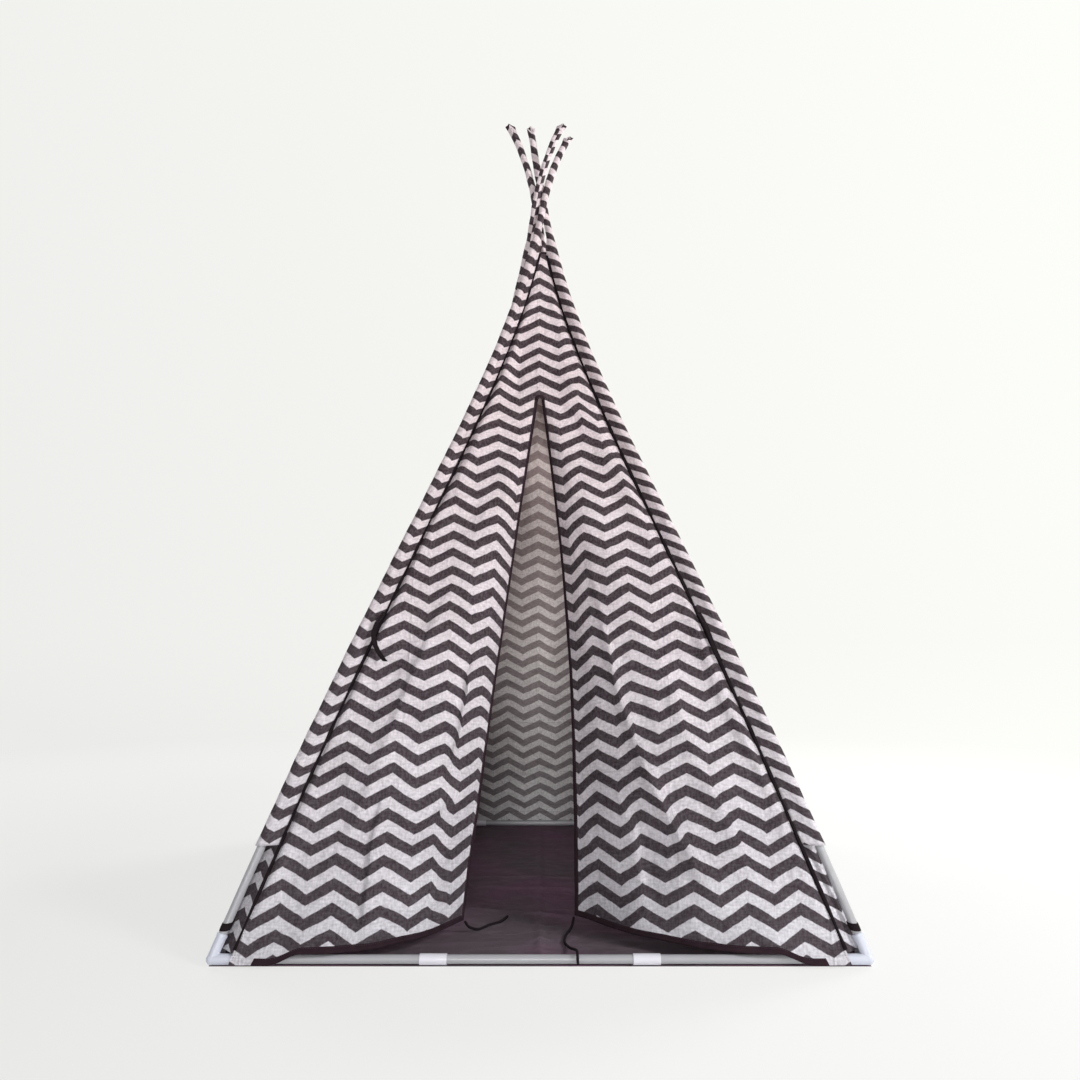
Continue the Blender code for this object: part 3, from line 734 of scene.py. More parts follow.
beside_seam = np.array([0, 1.2, 2.4, 3.6, 5, 6.5, 8.5, 11, 14, 18, 23, 29, 36]) / 1000


def steps_from_seam(width, count):
    """Distances from a seam across a piece of each width in a column, close together beside the seam."""
    near = beside_seam * np.minimum(1, 0.45 * width / beside_seam[-1])[:, None]
    share = np.linspace(0, 1, count - len(beside_seam) + 1)[None, 1:]
    return np.concatenate([near, near[:, -1:] * (1 - share) + width[:, None] * share], axis=1)


beside_right_seam = [(0.07, 0.06), (0.091, -0.04), (0.144, -0.15), (0.2, -0.29), (0.24, -0.4), (0.275, -0.58)]
low_on_right = [(0.31, -0.55), (0.339, -0.667), (0.375, -0.797), (0.44, -0.95), (0.48, -1.1)]
front_folds = [
    (beside_right_seam, 0.024, 0.011, 0.0095, 0.006),
    (low_on_right, 0.012, 0.02, 0.007, 0.004),
    ([(0.012, -0.02), (0.06, -0.05), (0.1, -0.1), (0.12, -0.22)], 0.01, 0.012, 0.004, 0.004),
    ([(0.03, 0.33), (0.055, 0.2), (0.07, 0.02), (0.1, -0.12)], 0.02, 0.012, 0.004, 0.0),
    ([(-0.27, -0.4), (-0.36, -0.62), (-0.42, -0.85)], 0.013, 0.024, 0.0065, 0.003),
    ([(-0.05, 0.3), (-0.09, 0.08), (-0.15, -0.16), (-0.22, -0.4)], 0.013, 0.03, 0.006, 0.003),
    ([(-0.02, 0.36), (-0.035, 0.2), (-0.055, 0.05), (-0.06, -0.06)], 0.014, 0.014, -0.0035, 0.0),
]
rows_to_peak, rows_above, columns, centre_columns = 148, 58, 40, 5
below_peak = np.linspace(hem_height, peak_height, rows_to_peak)
heights = np.concatenate([below_peak, np.linspace(peak_height, crown_height, rows_above)[1:]])
total = columns + centre_columns
front_points, front_uv = [], []
crease_t = (apex_height - heights) / (apex_height - hem_height)
peak_t = (apex_height - peak_height) / (apex_height - hem_height)
over_peak = heights >= peak_height
settle = np.exp(-np.clip(heights - peak_height, 0, None) / 0.06)
middle_y = -cover_profile(heights)
peak_y = apex[1] + (foot_y - apex[1]) * peak_t
middle_y = middle_y + (peak_y + cover_profile(peak_height)) * settle
for side, corner in ((-1, "front_left"), (1, "front_right")):
    seam_x, seam_y, _ = seam_line(corner, heights, (0, -1)).T
    narrowed = np.minimum(crease_foot_x * peak_t, 0.7 * np.abs(seam_x))
    inner_x = side * np.where(over_peak, narrowed, crease_foot_x * crease_t)
    straight = seam_y + (middle_y - seam_y) * (1 - inner_x / seam_x)
    at_peak = np.interp(peak_height, heights, straight)
    crease_y = apex[1] + (foot_y - apex[1]) * crease_t
    inner_y = np.where(over_peak, straight + (peak_y - at_peak) * settle, crease_y)
    width = np.abs(seam_x - inner_x)
    share = steps_from_seam(width, columns) / width[:, None]
    x = seam_x[:, None] * (1 - share) + inner_x[:, None] * share
    y = seam_y[:, None] * (1 - share) + inner_y[:, None] * share
    share = np.linspace(0, 1, centre_columns + 1)[None, 1:]
    x = np.concatenate([x, inner_x[:, None] * (1 - share)], axis=1)
    y = np.concatenate([y, inner_y[:, None] * (1 - share) + middle_y[:, None] * share], axis=1)
    z = np.repeat(heights[:, None], total, axis=1)
    u, v = x, np.repeat(along_cloth(heights)[:, None], total, axis=1)
    from_seam = np.abs(x - seam_x[:, None])
    from_crease = np.abs(x - inner_x[:, None])
    by_crease = np.clip((peak_height + 0.05 - z) / 0.05, 0, 1)
    free = (1 - hump(from_crease, 0.03) * by_crease) * (1 - hump(from_seam, 0.015))
    lift, drawn = folded(u, v, front_folds)
    lift = (lift + 0.0036 * crumpled(u, v, 0.12, 3.1) + 0.0019 * crumpled(u, v, 0.05, 8.3)) * free
    lift = lift + seam_valley(from_seam, z)
    lift = lift + 0.0009 * np.sin(v / 0.0085 + 3 * np.sin(v * 9)) * hump(from_seam - 0.014, 0.01)
    u = u + drawn * free
    front_points.append(stacked(x, y - wall_out * lift, z + wall_up * lift))
    front_uv.append(stacked(u, v))
cover_print = cotton_print("cover_print")
# Printed on its face only, so the pattern shows pale on the back of the cloth; its warm tint, part of its
# paleness and its shift from hem to crown are painted light, for daylight that the thin cotton would let through
cover_reverse = cotton_print(
    "cover_reverse", light=((232, 230, 230), (246, 230, 226)), dark=((122, 116, 118), (150, 132, 130))
)
crown_lines = {}
# Where the cloth is sewn, by body: each is a line of points just proud of the cloth
cover_seams = []
stitch_lines = {"frame_and_cover": cover_seams}


def grid_facing(points):
    """The direction square to a grid of points at each of them, away from the middle of the tent."""
    square = np.cross(np.gradient(points, axis=1), np.gradient(points, axis=0))
    square /= np.linalg.norm(square, axis=-1)[..., None]
    outward = (square * points)[..., :2].sum()
    return square if outward > 0 else -square


def thick_cloth(name, points, facing, uv, material, body="frame_and_cover"):
    """A closed piece of cloth behind a grid of points, shaded as one smooth surface up to its cut edges."""
    rows, columns = points.shape[:2]
    count = rows * columns
    outer, out = points.reshape(-1, 3), facing.reshape(-1, 3)
    quads = grid_faces(rows, columns)
    a, b, d = outer[quads[:, 0]], outer[quads[:, 1]], outer[quads[:, 3]]
    forward = (np.cross(b - a, d - a) * out[quads[:, 0]]).sum() > 0
    index = np.arange(count).reshape(rows, columns)
    border = np.concatenate([index[0], index[1:, -1], index[-1, -2::-1], index[-2::-1, 0]])
    first, second = (border[1:], border[:-1]) if forward else (border[:-1], border[1:])
    rims = np.stack([first, second, second + count, first + count], axis=1)
    quads = quads if forward else quads[:, ::-1]
    both = np.concatenate([outer, outer - cloth_thickness * out])
    edge_out = np.cross(both[rims[:, 1]] - both[rims[:, 0]], both[rims[:, 3]] - both[rims[:, 0]])
    edge_out /= np.linalg.norm(edge_out, axis=1)[:, None] + 1e-12
    back = quads[:, ::-1] + count
    faces = np.concatenate([quads, back, rims])
    made = new_piece(name, both, faces, material, body, np.tile(uv.reshape(-1, 2), (2, 1)))
    made.data.materials.append(cover_reverse)
    sides = np.repeat([0, 1, 0], [len(quads), len(back), len(rims)])
    made.data.polygons.foreach_set("material_index", sides.astype(np.int32))
    shading = [out[quads].reshape(-1, 3), -out[back - count].reshape(-1, 3), np.repeat(edge_out, 4, axis=0)]
    made.data.normals_split_custom_set(np.concatenate(shading).tolist())
    return made


left, right = front_points
grid = np.concatenate([left, right[:, -2::-1]], axis=1)
uv = np.concatenate([front_uv[0], front_uv[1][:, -2::-1]], axis=1)
facing = grid_facing(grid)
crown_lines["front"] = grid[-1]
peak_point = left[rows_to_peak - 1, -1]
proud = grid + 0.0003 * facing
cover_seams += [proud[1:, 6], proud[1:, -7]]
# The hem's stitches end short of the door on both sides
cover_seams += [proud[2, 1 : columns - 5], proud[2, 5 - columns : -1]]
upper, lower = over_peak, heights <= peak_height
for label, kept, span, flat in (
    ("top", upper, slice(None), (0.38, 0.46)),
    ("left", lower, slice(0, columns), (0.24, 1.32)),
    ("right", lower, slice(-columns, None), (0.24, 1.32)),
):
    rows = [part[kept][:, span] for part in (grid, facing, uv)]
    made = thick_cloth(f"cover_front_{label}", *rows, cover_print)
    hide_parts(f"front_wall_{label}")

# Back and side walls
# Three tall triangles of the same print, sewn to the sleeves along both edges. They hang slightly slack, so
# they sag inward between the poles and fall in a few soft upright folds.

wall_sides = {
    "back": ("back_left", "back_right", (0, 1), 0.4),
    "left": ("front_left", "back_left", (-1, 0), 1.7),
    "right": ("front_right", "back_right", (1, 0), 2.9),
}
wall_heights = np.linspace(hem_height, crown_height, 170)
for label, (start, end, direction, phase) in wall_sides.items():
    first, last = seam_line(start, wall_heights, direction), seam_line(end, wall_heights, direction)
    width = np.linalg.norm(last - first, axis=1)[:, None]
    half = steps_from_seam(width[:, 0] / 2, 45) / width
    share = np.concatenate([half, 1 - half[:, -2::-1]], axis=1)
    grid = first[:, None] * (1 - share[..., None]) + last[:, None] * share[..., None]
    rise = ((wall_heights - hem_height) / (crown_height - hem_height))[:, None]
    swell = np.sin(math.pi * np.clip(rise, 0, 1)) ** 0.8
    fold = np.sin(2 * math.pi * 3 * share + phase + 2 * rise)
    lift = swell * np.sin(math.pi * share) * (0.011 * fold * (1 - rise) - 0.009)
    u = (share - 0.5) * width
    v = np.repeat(along_cloth(wall_heights)[:, None], share.shape[1], axis=1)
    from_seam = np.minimum(share, 1 - share) * width
    held = 1 - hump(from_seam, 0.03)
    crumples = 0.0045 * crumpled(u, v, 0.16, phase * 7) + 0.002 * crumpled(u, v, 0.05, phase * 3)
    lift = lift + crumples * held
    lift = lift + 0.004 * np.sin(share * 41 + 5 * np.sin(v * 3 + phase)) * held * np.sin(math.pi * rise)
    lift = lift + seam_valley(from_seam, wall_heights[:, None])
    square = np.array([wall_out * direction[0], wall_out * direction[1], wall_up])
    grid = grid + lift[..., None] * square
    proud = grid + 0.0004 * square
    cover_seams += [proud[1:, 6], proud[1:, -7], proud[2, 1:-1]]
    wall = thick_cloth(f"cover_{label}", grid, grid_facing(grid), stacked(u, v), cover_print)
    crown_lines[label] = grid[-1]
    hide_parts(f"{label}_wall")

# Pole sleeves
# A strip of the print is folded round each pole and sewn to both walls beside it, so the pole runs in a
# tunnel. Near the floor the outer layer is cut away, and at the top the sleeve ends just past the pole.

sleeve_foot = 0.2
inner_foot = 0.024
neck_height = crown_height + 0.05
# The tunnel clears the joiners, and above the crown it narrows to the bare tube
tunnel_radius, neck_radius = 0.0103, 0.0083
# The sleeve is pinched flat over its last stretch, from a little past the pole's end
pinch_above, pinch_length = 0.008, 0.024
sleeve_top = tip_height + pinch_above + pinch_length
outer_columns, inner_columns = 46, 16
foot_rows = 21


def pole_lean(corner, z):
    step = 0.002
    along = pole_points(corner, z + step) - pole_points(corner, z - step)
    return along[..., 2] / np.linalg.norm(along, axis=-1)


def tunnel_outline(corner, z):
    """Radii round the pole's axis, by angle from the outermost one: a round drawn out to the two seams."""
    lean = float(pole_lean(corner, z))
    level = min(z, crown_height)
    deep = wall_out * float(seam_depth(level))
    seam = Vector((float(seam_inset(level)), 0.0004 + deep - float(cover_offset(level))))
    half_span = 3 * math.pi / 4 + math.atan2(seam.y, seam.x)
    tight = tunnel_radius / lean + 0.0008
    straight_from = half_span - math.acos(min(1.0, tight / seam.length))
    back = (seam.x + seam.y) / math.sqrt(2)
    inner_turns = np.linspace(half_span, 2 * math.pi - half_span, inner_columns)[1:-1]
    turns = np.concatenate([np.linspace(-half_span, half_span, outer_columns), inner_turns])
    outer = np.abs(turns) <= half_span + 1e-9
    flare = np.clip(np.abs(turns) - straight_from, 0, None)
    radii = np.where(outer, tight / np.cos(np.where(outer, flare, 0)), 0)
    radii = np.where(outer, radii, back / np.cos(np.where(outer, 0, turns - math.pi)))
    radii[0] = radii[outer_columns - 1] = seam.length
    if z > crown_height:
        share = ease(crown_height, neck_height, z)
        round_radius = neck_radius / lean + 0.0009
        radii = radii * (1 - share) + round_radius * share
    return turns, radii


sleeve_shift = {
    "front_left": (0.0255, 0.0),
    "front_right": (-0.0365, 0.006),
    "back_left": (0.01, 0.013),
    "back_right": (0.04, 0.02),
}
foot_levels = np.linspace(inner_foot, sleeve_foot, foot_rows + 1)[:-1]
middle_levels = np.linspace(sleeve_foot, crown_height, 170)[:-1]
levels = np.concatenate([foot_levels, middle_levels, np.linspace(crown_height, sleeve_top, 64)])
for corner, (side_x, side_y) in corners.items():
    centres = pole_points(corner, levels)
    run = running_length(centres)
    rows, uv_rows = [], []
    phase = 3.0 * side_x + side_y
    for row, (z, centre) in enumerate(zip(levels, centres)):
        turns, radii = tunnel_outline(corner, z)
        angles = 5 * math.pi / 4 + turns
        local = stacked(np.cos(angles), np.sin(angles)) * radii[:, None]
        around_run = running_length(local)
        middle_run = around_run[outer_columns // 2]
        ripple = 0.0005 * np.sin(run[row] / 0.011 + 2.2 * np.sin(run[row] * 14 + phase) + 3 * turns)
        ripple += 0.0007 * np.sin(run[row] / 0.037 + phase - 2 * turns)
        loose = np.clip(1.2 - np.abs(np.abs(turns) - 1.6) * 0.6, 0, 1)
        radii = radii + ripple * loose
        if z > tip_height + pinch_above:
            share = (z - tip_height - pinch_above) / pinch_length
            pinched = 1 / np.hypot(np.cos(angles) / 1.3, np.sin(angles) / 0.32)
            radii = radii * (1 - share + share * pinched)
            # Cut on the slant
            centre = pole_points(corner, z + 0.009 * share * np.sin(angles))
        x = -side_x * radii * np.cos(angles)
        y = -side_y * radii * np.sin(angles)
        rows.append(centre + stacked(x, y, 0))
        uv_rows.append(stacked(around_run - middle_run, run[row]))
    grid, uv = np.array(rows), np.array(uv_rows)
    total = grid.shape[1]
    quads = grid_faces(*grid.shape[:2], closed=True)
    below = quads[:, 0] // total < foot_rows
    column = quads[:, 0] % total
    quads = quads[~(below & (column < outer_columns - 1))]
    # The last column joins the first again, so the print needs its own point there
    wrap = quads[:, 0] % total == total - 1
    points = np.concatenate([grid.reshape(-1, 3), grid[:, 0]])
    uvs = np.concatenate([uv.reshape(-1, 2), uv[:, -1] + np.array([0.003, 0])])
    quads[wrap, 1:3] = len(grid) * total + quads[wrap, 1:3] // total
    sleeve_print = cotton_print(f"sleeve_print_{corner}", *sleeve_shift[corner])
    sleeve = new_piece(f"sleeve_{corner}", points, quads, sleeve_print, uv=uvs)
    face_out(sleeve)
    add_thickness(sleeve, 0.0006)
    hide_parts(f"pole_sleeve_{corner}")

# Seam shadow strips
# Painted shade: a narrow near-black cord runs down every long seam, deep in the groove between a wall and the
# sleeve beside it, where the groove's shadow falls; it is thicker at the front right, where that shadow is
# widest.

front_side = {"front": ("front_left", "front_right", (0, -1), 0)}
z = np.linspace(0.03, crown_height - 0.012, 170)
inward = wall_out * seam_depth(z) - 0.0004
for label, (start, end, direction, _) in {**front_side, **wall_sides}.items():
    for corner in (start, end):
        line = seam_line(corner, z, direction) - inward[:, None] * np.array([*direction, 0.0])
        # Painted shade: the cord stands in for the groove's shadow, and is thicker at the front right where that
        # shadow is widest
        radii = 0.0028 + 0.0007 * np.sin(z / 0.021 + 2 * np.sin(z * 17))
        radii = radii * (1.3 if corner == "front_right" else 1)
        points, faces, uv = round_sweep(line, radii, 10)
        new_piece(f"painted_seam_shadow_{label}_{corner}", points, faces, tie_black, uv=uv)

# Door flaps
# The two halves of the door, uncut from the front cover at their creases. Both are pulled inward and lie
# half open: each curls in a cone from the door's peak to its hem, in soft folds that deepen downward.

front_flat_angle = math.atan2(crease_foot_x, math.hypot(apex[1] - foot_y, apex_height - hem_height))
edge_bow = {"left": -0.004, "right": 0.024}
# The height at which the hem passes over the front base tube
over_tube = 0.0255
# The places of folds on a flap: across from its crease and down from the peak, in metres at these full sizes
flap_width, flap_drop = 0.5, 1.2
down_right_flap = [(0.25, 0.42), (0.285, 0.6), (0.3, 0.72), (0.285, 0.79)]
down_right_flap += [(0.254, 0.93), (0.207, 1.045), (0.155, 1.18)]
flap_folds = {
    "left": [
        ([(0.13, 0.88), (0.165, 1.024), (0.2, 1.13), (0.225, 1.19)], 0.011, 0.035, 0.0095, 0.004),
        ([(0.5, 0.925), (0.41, 0.96), (0.3, 1.0), (0.24, 1.03)], 0.014, 0.022, 0.0085, 0.006),
        ([(0.3, 0.6), (0.345, 0.72), (0.364, 0.82), (0.33, 0.93)], 0.028, 0.011, 0.0095, 0.009),
        ([(0.2, 0.66), (0.3, 0.7), (0.4, 0.76)], 0.01, 0.014, 0.0045, 0.003),
        ([(0.24, 0.75), (0.36, 0.79), (0.45, 0.83)], 0.01, 0.013, 0.0045, 0.003),
        ([(0.27, 0.85), (0.38, 0.86), (0.47, 0.89)], 0.01, 0.013, 0.004, 0.003),
        ([(0.4, 0.98), (0.4, 1.1), (0.38, 1.19)], 0.03, 0.02, 0.009, 0.0),
        ([(0.06, 0.5), (0.09, 0.8), (0.1, 1.1)], 0.02, 0.03, 0.004, 0.0),
    ],
    "right": [
        (down_right_flap, 0.034, 0.01, 0.0125, 0.011),
        ([(0.44, 0.5), (0.4, 0.66), (0.4, 0.82), (0.44, 0.98)], 0.03, 0.02, 0.005, 0.003),
        ([(0.36, 0.9), (0.33, 1.02), (0.34, 1.17)], 0.02, 0.024, 0.007, 0.003),
        ([(0.06, 0.62), (0.1, 0.85), (0.075, 1.12)], 0.016, 0.03, 0.006, 0.003),
        ([(0.49, 1.02), (0.43, 1.09), (0.33, 1.15)], 0.014, 0.014, 0.005, 0.0),
        ([(0.46, 0.3), (0.42, 0.38), (0.35, 0.44)], 0.01, 0.012, 0.0035, 0.002),
    ],
}


def hem_line(side, across):
    """Points of a flap's hem, from the crease at 0 to the free corner at 1."""
    sign = -1 if side == "left" else 1
    a = np.asarray(across, float)[..., None]
    foot = np.array([sign * crease_foot_x, foot_y, 0.0])
    bend = np.array([sign * 0.262, foot_y - 0.021, 0.0])
    corner = np.array(flap_corner[side])
    points = foot * (1 - a) ** 2 + bend * 2 * a * (1 - a) + corner * a**2
    across = a[..., 0]
    points[..., 2] = hem_height + ease(0.06, 0.19, across) * (over_tube - hem_height)
    points[..., 2] += (flap_corner[side].z - over_tube) * np.maximum(0, across - 0.5) * 2
    return points


def flap_cone(side, across, down):
    """Points of a flap without its folds."""
    points = apex + (hem_line(side, across) - apex) * down[..., None]
    points[..., 0] += edge_bow[side] * across**2 * np.sin(math.pi * down)
    return points


def flap_surface(side, across, down):
    """Points of a flap with its folds; across and down are arrays of one shape."""
    points = flap_cone(side, across, down)
    ripple = np.sin(2 * math.pi * 3 * across)
    lift = 0.006 * down * ease(0.4, 0.65, across) * ripple
    place = across * flap_width, down * flap_drop
    lift += folded(*place, flap_folds[side])[0] * ease(0.0, 0.12, across)
    sign = -1 if side == "left" else 1
    lift += 0.0055 * crumpled(*place, 0.14, 5.0 + sign) * down * ease(0.0, 0.2, across)
    lift += 0.0024 * crumpled(*place, 0.05, 9.0 + sign) * down * ease(0.0, 0.1, across)
    points[..., 1] -= lift
    points[..., 0] += sign * 0.3 * lift
    return points


def flap_uv(side, across, down):
    """Where a flap's points lie on the flat cloth, unrolled round the door's peak."""
    sign = -1 if side == "left" else 1
    fine = np.linspace(0, 1, 400)
    rays = flap_cone(side, fine, np.full(400, 0.6)) - apex
    rays /= np.linalg.norm(rays, axis=1)[:, None]
    steps = np.arccos(np.clip((rays[1:] * rays[:-1]).sum(1), -1, 1))
    unrolled = np.interp(across, fine, np.concatenate([[0], np.cumsum(steps)]))
    distance = np.linalg.norm(flap_cone(side, across, down) - apex, axis=-1)
    turn = front_flat_angle - unrolled
    drawn = folded(across * flap_width, down * flap_drop, flap_folds[side])[1] * ease(0.0, 0.12, across)
    return stacked(sign * (distance * np.sin(turn) - drawn), -distance * np.cos(turn))


def flap_facing(side, across, down):
    """The direction square to a flap, away from the tent."""
    step = 0.002
    along = flap_surface(side, across, down + step) - flap_surface(side, across, down - step)
    aside = flap_surface(side, across + step, down) - flap_surface(side, across - step, down)
    square = np.cross(along, aside)
    square /= np.linalg.norm(square, axis=-1)[..., None]
    return np.where(square[..., 1:2] > 0, -square, square)


peak_down = (apex_height - peak_height + 0.0015) / (apex_height - 0.03)
flap_print = cotton_print("flap_print")
for side in ("left", "right"):
    across, down = np.meshgrid(np.linspace(0.0, 1, 90), np.linspace(peak_down, 1, 170))
    grid = flap_surface(side, across, down)
    uv = flap_uv(side, across, down)
    flap = thick_cloth(f"flap_{side}", grid, grid_facing(grid), uv, flap_print, f"{side}_flap")
    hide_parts(f"door_flap_{side}")

# Door bindings
# Black cotton tape, folded over the raw edges of each flap: down its free edge, round the corner and back
# along the hem to the crease. Stitching through both of its halves holds it.

binding_width = 0.011
# Half of the tape, from its raw edge to its fold: how far in from the cloth's edge, where 13.5 stands for the
# tape's whole width, and how far off the cloth's middle, in mm
half_tape = [(13.5, 0.8), (11.6, 1.15), (11.0, 0.95), (7.0, 1.3), (3.2, 1.85), (0.9, 1.8), (-0.7, 1.0)]
tape = np.array([(x, -y) for x, y in half_tape] + half_tape[::-1])
inset, raised = tape[:, 0] * binding_width / tape[0, 0], tape[:, 1] / 1000
tape_run = np.concatenate([[0], np.cumsum(np.hypot(np.diff(inset), np.diff(raised)))])
# The rows along the hem end this share of its length from the crease
hem_end = 0.012


def binding_rows(side):
    """Rows across the tape: first down the free edge, then along the hem to the crease."""
    width = line_length(hem_line(side, np.linspace(0, 1, 60)))
    height = float(np.linalg.norm(hem_line(side, 1.0) - apex))
    steps = len(inset)
    rows = []
    for down in np.linspace(peak_down, 1 - binding_width / height, 120):
        rows.append((1 - np.minimum(inset / (width * down), 0.9), np.full(steps, down)))
    # Mitred at the corner
    rows.append((1 - inset / width, 1 - inset / height))
    for across in np.linspace(1 - binding_width / width, hem_end, 90):
        rows.append((np.full(steps, across), 1 - inset / height))
    return np.array([r[0] for r in rows]), np.array([r[1] for r in rows])


for side in ("left", "right"):
    across, down = binding_rows(side)
    facing = flap_facing(side, np.clip(across, 0.003, 0.997), np.clip(down, 0.0, 0.997))
    grid = flap_surface(side, across, down) + facing * (raised - 0.00035)[None, :, None]
    run = running_length(grid[:, 3])
    uv = stacked(tape_run, run[:, None])
    stitch_lines[f"{side}_flap"] = [(flap_surface(side, across, down) + facing * 0.00125)[:-1, 11]]
    binding = grid_piece(f"binding_{side}", grid, trim_black, uv, f"{side}_flap")
    if side == "right":
        binding.data.flip_normals()
    add_thickness(binding, 0.0004)
    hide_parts(f"door_binding_{side}")

# Peak patch and crown tape
# The same tape again: a short arch of it covers the two raw ends of the slit at the door's peak, and a length
# of it is folded over the top edge of each wall.

arch_radius, half_tape_width = 0.007, 0.005
around = np.linspace(0, math.pi, 30)[:, None]
out = np.linspace(-half_tape_width, half_tape_width, 9)[None, :]
side, up = (arch_radius + out) * np.cos(around), (arch_radius + out) * np.sin(around)
dome = 0.0014 + 0.001 * (1 - (out / half_tape_width) ** 2)
up = up - 0.0028
grid = peak_point + stacked(side, wall_up * up - wall_out * dome, wall_out * up + wall_up * dome)
uv = stacked(out, around * arch_radius)
patch = grid_piece("peak_patch", grid, trim_black, uv)
face_out(patch)
add_thickness(patch, 0.0011)

crown_out = {"front": (0, -1, 0), "back": (0, 1, 0), "left": (-1, 0, 0), "right": (1, 0, 0)}
for label, line in crown_lines.items():
    out = np.array(crown_out[label])
    down = np.array([0, 0, -0.95]) + 0.31 * out
    line = line[np.linspace(0, len(line) - 1, 40).astype(int)]
    fold_in, fold_out = inset[:, None] * 0.6, raised[:, None] * 0.8
    grid = line[:, None] + (fold_in * down + fold_out * out)[None]
    run = running_length(line)
    uv = stacked(tape_run * 0.6, run[:, None])
    crown = grid_piece(f"crown_tape_{label}", grid, trim_black, uv)
    outward(crown)
    add_thickness(crown, 0.0004)
    on = "cover_front_top" if label == "front" else f"cover_{label}"

# Floor mat
# A loose square of dark purple-grey cloth with a turned hem. The base frame stands on it. It lies flat on
# the floor but for the creases left by folding and small wrinkles towards the door.

mat_grey, place, shader = surface("mat_grey", Roughness=0.92, Specular_IOR_Level=0.15)
cloud = grain(place, 3.2, 5.0)
thread = stretched(place, 700, 2600)
creases = 1.0 - abs(stretched(place, 7, 17, 4.0) - 0.5) * 16.0
patches = ((grain(place, 3.2, 3.0) - 0.42) * 5.0).clamped()
tone = mixed(patches, mixed(cloud, paint(72, 64, 70), paint(92, 84, 88)), paint(106, 76, 96))
# Painted highlight: the creases are drawn paler where light catches them; the threads' paler flecks are the
# cloth's own
weave_and_crease_highlight = (thread * 0.3 + creases.clamped() * 0.14).clamped()
drive(shader, "Base Color", mixed(weave_and_crease_highlight, tone, paint(138, 120, 132)))
drive(shader, "Roughness", 0.84 + thread * 0.14)
height = thread * 0.2 + grain(place, 30.0, 5.0) * 2.2 + creases.clamped() * 0.5
drive(shader, "Normal", bump(height, 0.8, 0.0024))

mat_sides, mat_back = 0.6037, 0.6172
u, v = np.meshgrid(np.linspace(-mat_sides, mat_sides, 190), np.linspace(-mat_sides, mat_back, 190))
inside = np.clip((0.582 - np.maximum(np.abs(u), np.abs(v))) / 0.03, 0, 1)
lift = 0.0045 * np.clip(crumpled(u, v, 0.2, 11.0), 0, 1)
lift += 0.006 * hump(v + 0.3 + 0.05 * np.sin(u * 6), 0.009) * np.clip(1 - np.abs(u) * 2, 0, 1)
lift += 0.005 * hump(v + 0.47 - 0.08 * u, 0.008) * np.clip(1 - np.abs(u + 0.1) * 3, 0, 1)
lift += 0.004 * hump(v + 0.1 + 0.1 * u, 0.01) * np.clip(1.2 - np.abs(u) * 2, 0, 1)
lift += 0.0035 * hump(u, 0.006) + 0.003 * hump(v, 0.006)
# Pressed flat where the closing ties lie
under_left = ease(0.05, 0.0, np.maximum(np.abs(u + 0.11) - 0.06, np.abs(v + 0.375) - 0.075))
under_right = ease(0.04, 0.0, np.maximum(np.abs(u - 0.065) - 0.025, np.abs(v + 0.5) - 0.11))
z = 0.001 + lift * inside * (1 - 0.95 * np.maximum(under_left, under_right))
sewn = stacked(u, v, z + 0.0003)[1:-1, 1:-1]
cover_seams += [sewn[0], sewn[-1], sewn[:, 0], sewn[:, -1]]
mat = grid_piece("mat", stacked(u, v, z), mat_grey, stacked(u, v))
add_thickness(mat, 0.00095)
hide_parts("floor_mat")

# Corner loops
# Elastic black loops at the foot of each pole, just above its socket. They hold the end of the sleeve's
# inner layer against the pole, so that the cover stays down at its corners.

loop_width, loop_radius = 0.0128, 0.0095
turns = np.linspace(0, 2 * math.pi, 48, endpoint=False)
angles = 5 * math.pi / 4 + turns
toward = np.clip(-np.cos(turns), 0, 1)
for corner, (side_x, side_y) in corners.items():
    low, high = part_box(f"corner_loop_{corner}")
    rows = []
    for i, z in enumerate(np.linspace(low.z + 0.0006, high.z - 0.0006, 9)):
        centre = pole_points(corner, z)
        bulge = 0.0005 * math.sin(math.pi * i / 8)
        radii = loop_radius + bulge + 0.0016 * toward**3
        x, y = -side_x * radii * np.cos(angles), -side_y * radii * np.sin(angles)
        rows.append(centre + stacked(x, y, 0))
    loop = grid_piece(f"loop_{corner}", np.array(rows), tie_black, None, closed=True)
    face_out(loop)
    add_thickness(loop, 0.001)
    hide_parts(f"corner_loop_{corner}")

# Tie-back straps
# A short black tape is caught in each front seam at about the height of a child's shoulder. Untied, it
# hangs down over the seam. It is doubled over and stitched across near its sewn end.

